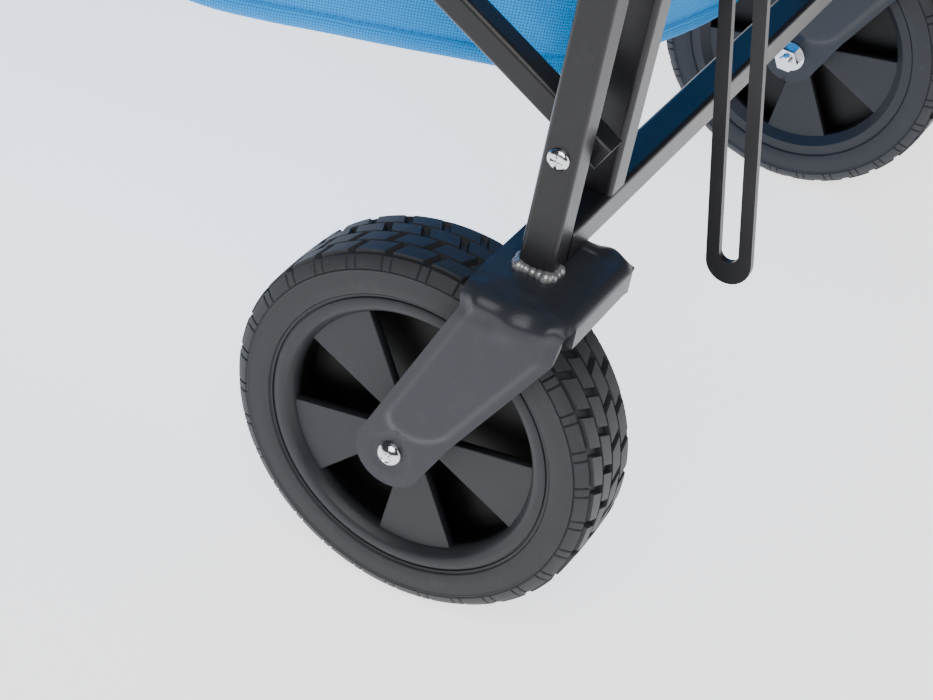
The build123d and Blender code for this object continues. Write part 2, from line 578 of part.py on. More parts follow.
# ---------------------------------------------------------------- tub
def corner_cut(side_x, side_y, lift):
    """Slab under the sloping plane that lifts one corner of the tub's underside."""
    normal = (-side_x * TUB_CORNER_RISE / CORNER_RUN_X, -side_y * TUB_CORNER_RISE / CORNER_RUN_Y, 1)
    corner = (side_x * TUB_LENGTH / 2, side_y * TUB_WIDTH / 2, TUB_CORNER_FLOOR + lift)
    reach = 2 * TUB_LENGTH
    return Plane(origin=corner, z_dir=normal) * Pos(0, 0, -reach / 2) * Box(reach, reach, reach)


def tub_block(inset, lift, top):
    """Block with rounded edges and four lifted corners below."""
    profile = RectangleRounded(TUB_LENGTH - 2 * inset, TUB_WIDTH - 2 * inset, TUB_CORNER_RADIUS - inset)
    body = Pos(0, 0, TUB_FLOOR + lift) * extrude(profile, top - TUB_FLOOR - lift)
    for side_x in (-1, 1):
        for side_y in (-1, 1):
            body -= corner_cut(side_x, side_y, lift)
    return body


def tub():
    """Open fabric tub as a closed solid."""
    return tub_block(0, 0, TUB_TOP) - tub_block(TUB_WALL, TUB_WALL, TUB_TOP + CUT)


def floor_mat():
    """Stiff board with cut corners that lies on the bottom of the tub."""
    x = TUB_LENGTH / 2 - MAT_MARGIN
    y = TUB_WIDTH / 2 - MAT_MARGIN
    cut_x = CORNER_RUN_X - MAT_MARGIN
    cut_y = CORNER_RUN_Y - MAT_MARGIN
    outline = Polyline(
        (x, -y + cut_y), (x, y - cut_y), (x - cut_x, y), (-x + cut_x, y),
        (-x, y - cut_y), (-x, -y + cut_y), (-x + cut_x, -y), (x - cut_x, -y), close=True)
    return Pos(0, 0, MAT_Z) * extrude(make_face(outline), MAT_THICKNESS)


# ---------------------------------------------------------------- write the nodes
def write_wheels():
    for name, side in SIDES.items():
        save(f"rear_tyre_{name}", tyre(REAR_WHEEL_RADIUS, REAR_AXLE_X, side * WHEEL_Y))
        save(f"rear_rim_{name}", rim(REAR_WHEEL_RADIUS, REAR_AXLE_X, side * WHEEL_Y))
        save(f"front_tyre_{name}", tyre(FRONT_WHEEL_RADIUS, FRONT_AXLE_X, side * WHEEL_Y))
        save(f"front_rim_{name}", rim(FRONT_WHEEL_RADIUS, FRONT_AXLE_X, side * WHEEL_Y))
        save(f"caster_fork_{name}", caster_fork(side))
        save(f"caster_fasteners_{name}", group([
            axle_bolt(FRONT_AXLE_X, FRONT_WHEEL_RADIUS, side),
            axle_nut(FRONT_AXLE_X, FRONT_WHEEL_RADIUS, side),
            kingpin(side),
            *wheel_spacers(FRONT_AXLE_X, FRONT_WHEEL_RADIUS, side)]))
        save(f"rear_fork_{name}", rear_fork(side))


def write_rear_frame():
    ends = list(SIDES.values())
    for name, side in SIDES.items():
        save(f"rear_post_{name}", end_post(1, side))
        y = side * UPRIGHT_Y
        save(f"rear_upright_{name}", upright_tube(POST_X, y, CROSSBAR_Z + HALF_TUBE, RAIL_Z - HALF_TUBE))
    save("rear_crossbar", cross_tube(POST_X, CROSSBAR_Z, -POST_INNER, POST_INNER))
    inner = UPRIGHT_Y - HALF_TUBE
    save("rear_mid_rail", cross_tube(POST_X, MID_RAIL_Z, -inner, inner))
    save("rear_top_rail", cross_tube(POST_X, RAIL_Z, -POST_INNER, POST_INNER))
    save("rear_post_caps", group([post_cap(1, side) for side in ends]))
    save("rear_axle_bolts", group([axle_bolt(REAR_AXLE_X, REAR_WHEEL_RADIUS, side) for side in ends]))
    nuts = [axle_nut(REAR_AXLE_X, REAR_WHEEL_RADIUS, side) for side in ends]
    for side in ends:
        nuts.extend(wheel_spacers(REAR_AXLE_X, REAR_WHEEL_RADIUS, side))
    save("rear_nuts_and_washers", group(nuts))
    save("rear_pivot_bolts", group([pivot_bolt(1, side, OUTER_BAR_Y) for side in ends]))
    save("lock_link_bracket", link_bracket())
    save("lock_link", lock_link())


def write_front_frame():
    ends = list(SIDES.values())
    for name, side in SIDES.items():
        save(f"front_post_{name}", end_post(-1, side))
    save("swivel_housings", group([swivel_housing(side) for side in ends]))
    save("front_crossbar", cross_tube(-POST_X, CROSSBAR_Z, -POST_INNER, POST_INNER))
    save("front_top_rail", cross_tube(-POST_X, RAIL_Z, -POST_INNER, POST_INNER))
    save("front_post_caps", group([post_cap(-1, side) for side in ends]))
    save("front_pivot_bolts", group([pivot_bolt(-1, side, INNER_BAR_Y) for side in ends]))
    save("handle_bracket", handle_bracket())
    save("handle_tube", handle_tube())
    save("handle_collar", handle_collar())
    save("handle_inner_tube", handle_inner())
    save("handle_grip", handle_grip())


def write_scissors():
    ends = list(SIDES.values())
    layers = {"outer": (OUTER_BAR_Y, SCISSOR_ANGLE), "inner": (INNER_BAR_Y, -SCISSOR_ANGLE)}
    for place, sign in (("rear", 1), ("front", -1)):
        x = sign * PIVOT_PITCH / 2
        for layer, (y, slope) in layers.items():
            first = OPEN_PIVOT_GAP if (place, layer) == ("rear", "inner") else RUNNING_GAP
            for name, side in SIDES.items():
                save(f"{layer}_bar_{place}_{name}", bar(x, side * y, slope, first, RUNNING_GAP))
            caps = []
            for side in ends:
                caps.extend(bar_caps(x, side * y, slope))
            save(f"{layer}_bar_caps_{place}", group(caps))
    rear_pins = []
    front_pins = []
    for side in ends:
        rear_pins.append(hub_pin(PIVOT_PITCH / 2, CROSSING_Z, side, PIVOT_PIN_RADIUS))
        rear_pins.append(hub_pin(0, HIGH_Z, side, PIVOT_PIN_RADIUS))
        front_pins.append(hub_pin(-PIVOT_PITCH / 2, CROSSING_Z, side, PIVOT_PIN_RADIUS))
        front_pins.append(hub_pin(0, PIVOT_Z, side, PIVOT_PIN_RADIUS))
    save("bar_pins_rear", group(rear_pins))
    save("bar_pins_front", group(front_pins))
    for place, end, y in (("rear", 1, INNER_BAR_Y), ("front", -1, OUTER_BAR_Y)):
        save(f"{place}_sliders", group([slider(end, side, y) for side in ends]))
        save(f"{place}_slider_pins", group([slider_pin(end, side, y) for side in ends]))


def main():
    os.makedirs("parts", exist_ok=True)
    write_wheels()
    write_rear_frame()
    write_front_frame()
    write_scissors()
    save("tub", tub())
    save("floor_mat", floor_mat())


main()
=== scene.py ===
import json
import math

import bmesh
import bpy
from mathutils import Matrix, Vector, noise

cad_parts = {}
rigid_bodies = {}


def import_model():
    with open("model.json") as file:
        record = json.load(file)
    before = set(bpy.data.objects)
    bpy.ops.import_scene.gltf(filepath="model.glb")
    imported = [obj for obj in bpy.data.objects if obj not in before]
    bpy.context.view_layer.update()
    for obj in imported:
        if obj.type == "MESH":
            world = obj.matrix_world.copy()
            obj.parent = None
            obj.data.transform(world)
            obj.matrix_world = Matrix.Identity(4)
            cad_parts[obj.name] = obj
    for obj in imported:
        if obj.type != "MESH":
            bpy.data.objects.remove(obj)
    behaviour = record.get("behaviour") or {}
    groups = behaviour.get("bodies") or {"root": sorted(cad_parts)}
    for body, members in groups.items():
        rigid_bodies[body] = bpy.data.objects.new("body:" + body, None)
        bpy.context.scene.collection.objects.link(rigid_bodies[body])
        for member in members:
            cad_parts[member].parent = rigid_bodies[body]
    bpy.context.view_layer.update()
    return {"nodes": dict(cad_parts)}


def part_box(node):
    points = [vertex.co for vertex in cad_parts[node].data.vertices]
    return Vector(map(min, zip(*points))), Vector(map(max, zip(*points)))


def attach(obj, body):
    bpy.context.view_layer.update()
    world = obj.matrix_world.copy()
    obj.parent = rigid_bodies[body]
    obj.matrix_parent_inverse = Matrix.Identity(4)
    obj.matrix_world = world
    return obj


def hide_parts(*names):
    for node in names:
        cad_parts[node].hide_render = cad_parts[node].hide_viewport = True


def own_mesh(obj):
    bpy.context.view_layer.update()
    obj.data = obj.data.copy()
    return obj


bl_info = {
    "name": "Beach Cart Looks",
    "version": (1, 0, 0),
    "blender": (4, 5, 0),
    "location": "View3D > Sidebar > Beach Cart",
    "description": "Builds the tyres, rims, forks, fasteners, cloth and finishes of a folding beach cart",
    "category": "Object",
}

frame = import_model()

MM = 0.001
SIDES = {"left": -1, "right": 1}


# ---------------------------------------------------------------- places taken from the frame
def middle(node):
    """Centre of a CAD node at rest."""
    low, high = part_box(node)
    return (Vector(low) + Vector(high)) / 2


def span(node):
    """Size of a CAD node's box at rest."""
    low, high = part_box(node)
    return Vector(high) - Vector(low)


REAR_AXLE = middle("rear_tyre_left")
FRONT_AXLE = middle("front_tyre_left")
REAR_RADIUS = span("rear_tyre_left").x / 2
FRONT_RADIUS = span("front_tyre_left").x / 2
TYRE_HALF = span("rear_tyre_left").y / 2
REAR_POST = middle("rear_post_left")
FRONT_POST = middle("front_post_left")
TUB_LOW, TUB_HIGH = (Vector(corner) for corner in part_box("tub"))


# ---------------------------------------------------------------- modelling helpers
def clear():
    """Leave edit mode and deselect everything."""
    if bpy.context.mode != "OBJECT":
        bpy.ops.object.mode_set(mode="OBJECT")
    bpy.ops.object.select_all(action="DESELECT")


def start(name):
    """Name the new primitive, put its place in its mesh and open it for editing."""
    piece = bpy.context.view_layer.objects.active
    piece.name = name
    piece.data.name = name
    bpy.ops.object.transform_apply(location=True, rotation=True, scale=True)
    bpy.ops.object.mode_set(mode="EDIT")
    return piece


def edit(piece):
    """Open a piece for editing on its own."""
    clear()
    bpy.context.view_layer.objects.active = piece
    piece.select_set(True)
    bpy.ops.object.mode_set(mode="EDIT")


def pick(piece, kind, test):
    """Select the faces, edges or vertices whose middle passes the test."""
    bpy.ops.mesh.select_mode(type=kind)
    bpy.ops.mesh.select_all(action="DESELECT")
    mesh = bmesh.from_edit_mesh(piece.data)
    if kind == "FACE":
        found = [face for face in mesh.faces if test(face.calc_center_median())]
    elif kind == "EDGE":
        found = [edge for edge in mesh.edges if test((edge.verts[0].co + edge.verts[1].co) / 2)]
    else:
        found = [vert for vert in mesh.verts if test(vert.co)]
    for element in found:
        element.select_set(True)
    bmesh.update_edit_mesh(piece.data)
    return len(found)


def apply(piece, kind, **settings):
    """Add a modifier and apply it."""
    clear()
    bpy.context.view_layer.objects.active = piece
    piece.select_set(True)
    modifier = piece.modifiers.new(kind.title(), kind)
    for key, value in settings.items():
        setattr(modifier, key, value)
    bpy.ops.object.modifier_apply(modifier=modifier.name)


def close(piece, angle=35.0, doubles=0.00001):
    """Merge doubles, turn the faces outwards and smooth by angle."""
    edit(piece)
    bpy.ops.mesh.select_all(action="SELECT")
    bpy.ops.mesh.remove_doubles(threshold=doubles)
    bpy.ops.mesh.normals_make_consistent(inside=False)
    bpy.ops.object.mode_set(mode="OBJECT")
    bpy.ops.object.shade_smooth_by_angle(angle=math.radians(angle))
    return piece


def lathe(name, centre, rings, sides, capped=False):
    """Surface turned about Y: a circle drawn out through rings of (radius, along, twist)."""
    clear()
    radius, along, twist = (*rings[0], 0.0)[:3]
    bpy.ops.mesh.primitive_circle_add(
        vertices=sides, radius=radius, fill_type="NGON" if capped else "NOTHING",
        location=centre + Vector((0, along, 0)), rotation=(math.pi / 2, 0, 0))
    piece = start(name)
    bpy.ops.mesh.select_mode(type="EDGE")
    bpy.ops.mesh.select_all(action="SELECT")
    if capped:
        pick(piece, "EDGE", lambda place: (place - centre).length > radius * 0.5)
    for ring in rings[1:]:
        new_radius, new_along, new_twist = (*ring, 0.0)[:3]
        bpy.ops.mesh.extrude_edges_move(TRANSFORM_OT_translate={"value": (0, new_along - along, 0)})
        if abs(new_radius - radius) > 1e-9:
            bpy.ops.transform.resize(value=(new_radius / radius, 1, new_radius / radius),
                center_override=centre)
        if abs(new_twist - twist) > 1e-9:
            bpy.ops.transform.rotate(value=math.radians(new_twist - twist), orient_axis="Y",
                center_override=centre)
        radius, along, twist = new_radius, new_along, new_twist
    if capped:
        bpy.ops.mesh.edge_face_add()
    bpy.ops.object.mode_set(mode="OBJECT")
    return piece


def join(name, pieces):
    """Several meshes as one piece."""
    clear()
    for piece in pieces:
        piece.select_set(True)
    bpy.context.view_layer.objects.active = pieces[0]
    bpy.ops.object.join()
    pieces[0].name = name
    pieces[0].data.name = name
    return pieces[0]


def copy(piece, name, move=(0, 0, 0)):
    """A copy with its own mesh, moved in its mesh."""
    twin = piece.copy()
    twin.data = piece.data.copy()
    twin.name = name
    twin.data.name = name
    bpy.context.collection.objects.link(twin)
    twin.data.transform(Matrix.Translation(Vector(move)))
    return twin


def mirror(piece, name):
    """The same piece for the right side, mirrored across the middle of the cart."""
    twin = copy(piece, name)
    twin.data.transform(Matrix.Scale(-1, 4, Vector((0, 1, 0))))
    twin.data.flip_normals()
    return twin


def polar(place, centre):
    """Radius, angle in degrees up from +X, and distance along Y, about an axle."""
    offset = place - centre
    angle = math.degrees(math.atan2(offset.z, offset.x))
    return math.hypot(offset.x, offset.z), angle, offset.y


def smooth(value):
    """Smooth step from 0 to 1."""
    value = min(max(value, 0.0), 1.0)
    return value * value * (3 - 2 * value)


def line(value, points):
    """Straight interpolation through (value, result) points."""
    if value <= points[0][0]:
        return points[0][1]
    for (low, first), (high, last) in zip(points, points[1:]):
        if value <= high:
            return first + (last - first) * (value - low) / (high - low)
    return points[-1][1]


def settle(piece, body, material, nodes=()):
    """Finish, body, slot and the CAD nodes that a piece stands for."""
    piece.data.materials.clear()
    piece.data.materials.append(material)
    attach(piece, body)
    if nodes:
        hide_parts(*nodes)
    return piece


# ---------------------------------------------------------------- shader helpers
def node(tree, kind, inputs=None, **settings):
    """New node; an input given a socket is linked, and any other value is its constant."""
    made = tree.nodes.new("ShaderNode" + kind)
    for key, value in settings.items():
        setattr(made, key, value)
    for key, value in (inputs or {}).items():
        if isinstance(value, bpy.types.NodeSocket):
            tree.links.new(value, made.inputs[key])
        else:
            made.inputs[key].default_value = value
    return made


def math_node(tree, operation, first, second=0.0, third=0.0):
    """One value operation."""
    made = tree.nodes.new("ShaderNodeMath")
    made.operation = operation
    for socket, value in zip(made.inputs, (first, second, third)):
        if isinstance(value, bpy.types.NodeSocket):
            tree.links.new(value, socket)
        else:
            socket.default_value = value
    return made.outputs[0]


def blend_colour(tree, factor, first, second):
    """Mix of two colours."""
    made = tree.nodes.new("ShaderNodeMix")
    made.data_type = "RGBA"
    for socket, value in ((made.inputs[0], factor), (made.inputs[6], first), (made.inputs[7], second)):
        if isinstance(value, bpy.types.NodeSocket):
            tree.links.new(value, socket)
        else:
            socket.default_value = value
    return made.outputs[2]


def group(name, inputs, outputs):
    """New shared node group with its sockets."""
    tree = bpy.data.node_groups.new(name, "ShaderNodeTree")
    for label, kind, value in inputs:
        socket = tree.interface.new_socket(name=label, in_out="INPUT", socket_type="NodeSocket" + kind)
        socket.default_value = value
    for label, kind in outputs:
        tree.interface.new_socket(name=label, in_out="OUTPUT", socket_type="NodeSocket" + kind)
    entry = tree.nodes.new("NodeGroupInput")
    result = tree.nodes.new("NodeGroupOutput")
    return tree, entry.outputs, result.inputs


def surface_group():
    """Fine grain, slow tone changes and rubbed patches for paint, plastic, rubber and metal."""
    tree, given, result = group(
        "Surface Grain",
        [("Base", "Color", (0.02, 0.02, 0.02, 1)), ("Worn", "Color", (0.06, 0.06, 0.06, 1)),
         ("Scale", "Float", 900.0), ("Roughness", "Float", 0.4), ("Spread", "Float", 0.12),
         ("Wear", "Float", 0.25)],
        [("Color", "Color"), ("Roughness", "Float"), ("Height", "Float")])
    place = node(tree, "TexCoord").outputs["Object"]
    fine = node(tree, "TexNoise", {"Vector": place, "Scale": given["Scale"], "Detail": 3.0}).outputs["Fac"]
    slow = node(tree, "TexNoise",
        {"Vector": place, "Scale": 26.0, "Detail": 5.0, "Roughness": 0.65}).outputs["Fac"]
    streak = node(tree, "Mapping", {"Vector": place, "Scale": (60.0, 340.0, 60.0)}).outputs[0]
    scuff = node(tree, "TexNoise",
        {"Vector": streak, "Scale": 1.0, "Detail": 6.0, "Roughness": 0.7}).outputs["Fac"]
    rubbed = math_node(tree, "MULTIPLY", math_node(tree, "SUBTRACT", scuff, 0.56), 7.0)
    rubbed = node(tree, "Clamp", {"Value": rubbed}).outputs[0]
    rubbed = math_node(tree, "MULTIPLY", rubbed, given["Wear"])
    tone = math_node(tree, "ADD", math_node(tree, "MULTIPLY", slow, 0.45),
        math_node(tree, "MULTIPLY", rubbed, 0.9))
    tone = math_node(tree, "ADD", tone, math_node(tree, "MULTIPLY", fine, 0.12))
    tree.links.new(blend_colour(tree, tone, given["Base"], given["Worn"]), result["Color"])
    change = math_node(tree, "MULTIPLY", math_node(tree, "SUBTRACT", slow, 0.5), given["Spread"])
    rough = math_node(tree, "ADD", given["Roughness"],
        math_node(tree, "ADD", change, math_node(tree, "MULTIPLY", rubbed, 0.12)))
    tree.links.new(rough, result["Roughness"])
    tree.links.new(math_node(tree, "ADD", fine, math_node(tree, "MULTIPLY", slow, 0.6)), result["Height"])
    return tree


def weave_group():
    """Plain weave of two-ply threads, measured along the cloth, with painted shade between the threads and
    painted highlights on their tops.
    """
    tree, given, result = group(
        "Oxford Weave",
        [("Thread", "Float", 0.0015), ("Base", "Color", (0.05, 0.35, 0.75, 1)),
        ("Shade", "Color", (0.01, 0.12, 0.4, 1)),
         ("Light", "Color", (0.2, 0.6, 0.95, 1))],
        [("Color", "Color"), ("Roughness", "Float"), ("Height", "Float")])
    cloth = node(tree, "Attribute", attribute_name="cloth").outputs["Vector"]
    wave = node(tree, "TexNoise", {"Vector": cloth, "Scale": 30.0, "Detail": 3.0}).outputs["Fac"]
    parts = node(tree, "SeparateXYZ", {"Vector": cloth})
    drift = math_node(tree, "MULTIPLY", math_node(tree, "SUBTRACT", wave, 0.5), 0.0016)
    across = math_node(tree, "DIVIDE", math_node(tree, "ADD", parts.outputs[0], drift), given["Thread"])
    along = math_node(tree, "DIVIDE", math_node(tree, "ADD", parts.outputs[1], drift), given["Thread"])
    warp = math_node(tree, "ABSOLUTE",
        math_node(tree, "SINE", math_node(tree, "MULTIPLY", across, math.pi)))
    weft = math_node(tree, "ABSOLUTE", math_node(tree, "SINE", math_node(tree, "MULTIPLY", along, math.pi)))
    cell = node(tree, "CombineXYZ", {"X": across, "Y": along, "Z": 0.5}).outputs[0]
    over = node(tree, "TexChecker", {"Vector": cell, "Scale": 1.0}).outputs["Fac"]
    up = math_node(tree, "MULTIPLY", math_node(tree, "POWER", warp, 0.6),
        math_node(tree, "ADD", 0.35, math_node(tree, "MULTIPLY", weft, 0.65)))
    down = math_node(tree, "MULTIPLY", math_node(tree, "POWER", weft, 0.6),
        math_node(tree, "ADD", 0.35, math_node(tree, "MULTIPLY", warp, 0.65)))
    thread = node(tree, "Mix", {0: over, 2: up, 3: down}).outputs[0]
    hair = node(tree, "TexNoise", {"Vector": cloth, "Scale": 2600.0, "Detail": 2.0}).outputs["Fac"]
    height = math_node(tree, "ADD", thread, math_node(tree, "MULTIPLY", hair, 0.25))
    # Painted light: patches where the thread tops are lit more strongly.
    sun = node(tree, "TexNoise",
        {"Vector": cloth, "Scale": 9.0, "Detail": 4.0, "Roughness": 0.6}).outputs["Fac"]
    lit = math_node(tree, "MULTIPLY", math_node(tree, "SUBTRACT", height, 0.45), 1.1)
    # Painted shade between the threads (Shade colour), then a painted highlight on the thread tops (Light
    # colour), stronger in the sun patches.
    body = blend_colour(tree, node(tree, "Clamp",
        {"Value": math_node(tree, "MULTIPLY", thread, 1.7)}).outputs[0], given["Shade"], given["Base"])
    body = blend_colour(tree, node(tree, "Clamp",
        {"Value": math_node(tree, "MULTIPLY", lit, math_node(tree, "ADD", sun, 0.1))}).outputs[0], body,
        given["Light"])
    tree.links.new(body, result["Color"])
    tree.links.new(math_node(tree, "SUBTRACT", 0.72, math_node(tree, "MULTIPLY", thread, 0.16)),
        result["Roughness"])
    tree.links.new(height, result["Height"])
    return tree


def rim_shade_group():
    """Painted shade: darkens the colour of the inside of a wheel, by the distance from its middle plane."""
    tree, given, result = group(
        "Rim Painted Shade", [("Color", "Color", (0.02, 0.02, 0.02, 1)), ("Track", "Float", 0.237)],
        [("Color", "Color")])
    place = node(tree, "TexCoord").outputs["Object"]
    across = math_node(tree, "ABSOLUTE", node(tree, "SeparateXYZ", {"Vector": place}).outputs[1])
    away = math_node(tree, "ABSOLUTE", math_node(tree, "SUBTRACT", across, given["Track"]))
    open_share = math_node(tree, "DIVIDE", math_node(tree, "SUBTRACT", away, 0.0115), 0.004)
    lit = node(tree, "Clamp", {"Value": open_share}).outputs[0]
    # Painted shade: near-black colour where the inside of the wheel lies in shade.
    tree.links.new(blend_colour(tree, lit, (0.0012, 0.0012, 0.0014, 1), given["Color"]), result["Color"])
    return tree


def stitch_group():
    """A sewn row: thread dashes in a shallow groove, at one height up the cloth."""
    tree, given, result = group(
        "Sewn Row", [("Row", "Float", 0.0105), ("Pitch", "Float", 0.0042), ("Width", "Float", 0.0009)],
        [("Thread", "Float"), ("Groove", "Float")])
    cloth = node(tree, "Attribute", attribute_name="cloth").outputs["Vector"]
    parts = node(tree, "SeparateXYZ", {"Vector": cloth})
    away = math_node(tree, "ABSOLUTE", math_node(tree, "SUBTRACT", parts.outputs[1], given["Row"]))
    step = math_node(tree, "FRACT", math_node(tree, "DIVIDE", parts.outputs[0], given["Pitch"]))
    dash = math_node(tree, "LESS_THAN", math_node(tree, "ABSOLUTE", math_node(tree, "SUBTRACT", step, 0.5)),
        0.38)
    near = math_node(tree, "LESS_THAN", away, math_node(tree, "MULTIPLY", given["Width"], 0.5))
    tree.links.new(math_node(tree, "MULTIPLY", dash, near), result["Thread"])
    wide = math_node(tree, "DIVIDE", away, math_node(tree, "MULTIPLY", given["Width"], 1.6))
    tree.links.new(node(tree, "Clamp", {"Value": math_node(tree, "SUBTRACT", 1.0, wide)}).outputs[0],
        result["Groove"])
    return tree


def material(name):
    """Empty material with a Principled shader."""
    made = bpy.data.materials.new(name)
    made.use_nodes = True
    return made, made.node_tree, made.node_tree.nodes["Principled BSDF"]


def hard_material(name, shared, base, worn, scale, rough, spread, wear, bump, metallic=0.0, coat=0.0,
    recess=None):
    """Paint, plastic, rubber or metal from the shared grain group."""
    made, tree, shader = material(name)
    grain = tree.nodes.new("ShaderNodeGroup")
    grain.node_tree = shared
    for key, value in (("Base", (*base, 1)), ("Worn", (*worn, 1)), ("Scale", scale), ("Roughness", rough),
        ("Spread", spread), ("Wear", wear)):
        grain.inputs[key].default_value = value
    colour = grain.outputs["Color"]
    # Painted shade: the rim's colour is darkened inside the wheel, where shade falls.
    if recess is not None:
        painted_shade = node(tree, "Group", node_tree=recess)
        tree.links.new(colour, painted_shade.inputs["Color"])
        painted_shade.inputs["Track"].default_value = abs(REAR_AXLE.y)
        colour = painted_shade.outputs["Color"]
    tree.links.new(colour, shader.inputs["Base Color"])
    tree.links.new(grain.outputs["Roughness"], shader.inputs["Roughness"])
    relief = node(tree, "Bump", {"Height": grain.outputs["Height"], "Strength": bump, "Distance": 0.0003})
    tree.links.new(relief.outputs["Normal"], shader.inputs["Normal"])
    shader.inputs["Metallic"].default_value = metallic
    shader.inputs["Coat Weight"].default_value = coat
    shader.inputs["Specular IOR Level"].default_value = 0.5 if metallic else 0.28
    shader.inputs["Coat Roughness"].default_value = 0.12
    made.diffuse_color = (*base, 1)
    return made


def cloth_material(name, weave, sewn, base, shade, light, thread, rows):
    """Woven cloth with its sewn rows, with painted shade in each row's groove."""
    made, tree, shader = material(name)
    cloth = tree.nodes.new("ShaderNodeGroup")
    cloth.node_tree = weave
    for key, value in (("Thread", thread), ("Base", (*base, 1)), ("Shade", (*shade, 1)),
        ("Light", (*light, 1))):
        cloth.inputs[key].default_value = value
    colour = cloth.outputs["Color"]
    height = cloth.outputs["Height"]
    for row in rows:
        sewing = tree.nodes.new("ShaderNodeGroup")
        sewing.node_tree = sewn
        sewing.inputs["Row"].default_value = row
        # Painted shade: the groove of each sewn row is blended toward the shade colour; the thread dashes
        # take the base colour.
        colour = blend_colour(tree, math_node(tree, "MULTIPLY", sewing.outputs["Groove"], 0.75), colour,
            (*shade, 1))
        colour = blend_colour(tree, math_node(tree, "MULTIPLY", sewing.outputs["Thread"], 0.6), colour,
            (*base, 1))
        height = math_node(tree, "SUBTRACT", height,
            math_node(tree, "MULTIPLY", sewing.outputs["Groove"], 2.4))
        height = math_node(tree, "ADD", height, math_node(tree, "MULTIPLY", sewing.outputs["Thread"], 1.6))
    tree.links.new(colour, shader.inputs["Base Color"])
    tree.links.new(cloth.outputs["Roughness"], shader.inputs["Roughness"])
    relief = node(tree, "Bump", {"Height": height, "Strength": 0.55, "Distance": 0.0005})
    tree.links.new(relief.outputs["Normal"], shader.inputs["Normal"])
    shader.inputs["Specular IOR Level"].default_value = 0.18
    made.diffuse_color = (*base, 1)
    return made


# ---------------------------------------------------------------- settings
def colour_property(name, default, description):
    """A colour that a user may change."""
    return bpy.props.FloatVectorProperty(
        name=name, description=description, default=default, subtype="COLOR", size=3, min=0.0, max=1.0)


def length_property(name, default, description):
    """A length that a user may change, in metres."""
    return bpy.props.FloatProperty(
        name=name, description=description, default=default, min=0.0, unit="LENGTH", subtype="DISTANCE",
        precision=5)


class CartFinishSettings(bpy.types.PropertyGroup):
    """Colours of the cart."""
    cloth: colour_property("Cloth", (0.003, 0.270, 0.740), "Main colour of the tub cloth")
    # Cloth shade is painted shade between the threads; cloth light is a painted highlight on their tops.
    cloth_shade: colour_property("Cloth shade", (0.002, 0.120, 0.440), "Colour between the threads")
    cloth_light: colour_property("Cloth light", (0.010, 0.450, 0.960), "Colour on top of the threads")
    paint: colour_property("Frame paint", (0.008, 0.008, 0.010), "Powder coat of the frame tubes")
    fork: colour_property("Fork paint", (0.020, 0.022, 0.028), "Satin paint of the wheel forks")
    plastic: colour_property("Rim plastic", (0.015, 0.016, 0.020), "Moulded plastic of the rims")
    rubber: colour_property("Rubber", (0.018, 0.019, 0.022), "Rubber of the tyres")
    mat: colour_property("Floor panel", (0.010, 0.011, 0.014), "Cloth of the floor panel")


class CartTreadSettings(bpy.types.PropertyGroup):
    """Sizes of the tyre tread."""
    pitches: bpy.props.IntProperty(name="Pitches", description="Tread pitches round a tyre", default=30,
        min=12, max=60)
    block: length_property("Block height", 0.0030, "Height of the main tread blocks")
    slit: length_property("Slit", 0.00062, "Half width of the slits between blocks")
    slope: bpy.props.FloatProperty(name="Slope",
        description="Turn of the tread per millimetre from the middle, in degrees", default=0.30)


class CartClothSettings(bpy.types.PropertyGroup):
    """Sizes of the tub cloth."""
    corner_rise: length_property("Corner rise", 0.042, "How far the lower corners are drawn up")
    corner_run_x: length_property("Corner run along", 0.185, "Length of the drawn-up corner along the side")
    corner_run_y: length_property("Corner run across", 0.180,
        "Length of the drawn-up corner across the end")
    wrinkle: length_property("Wrinkle", 0.0040, "Depth of the soft folds")
    seam: length_property("Seam height", 0.0105, "Height of the sewn row above the lower edge")
    thread: length_property("Thread", 0.00150, "Spacing of the woven threads")
    keep: bpy.props.FloatProperty(name="Folded share",
        description="Share of the cloth's length left when folded", default=0.38, min=0.1, max=1.0)


class CartStageSettings(bpy.types.PropertyGroup):
    """Camera, light and floor."""
    eye: bpy.props.FloatVectorProperty(name="Camera place", description="Where the camera stands",
        default=(0.5830, -0.9354, 0.6914), subtype="TRANSLATION")
    lens: bpy.props.FloatProperty(name="Lens", description="Focal length in millimetres", default=83.74)
    key: bpy.props.FloatProperty(name="Key light", description="Power of the main light", default=78.0)
    fill: bpy.props.FloatProperty(name="Fill light", description="Power of the side light", default=20.0)
    sky: colour_property("Sky", (0.050, 0.053, 0.062), "Colour of the room above")
    floor: colour_property("Floor", (0.80, 0.80, 0.80), "Colour of the floor")


SHELF = {}


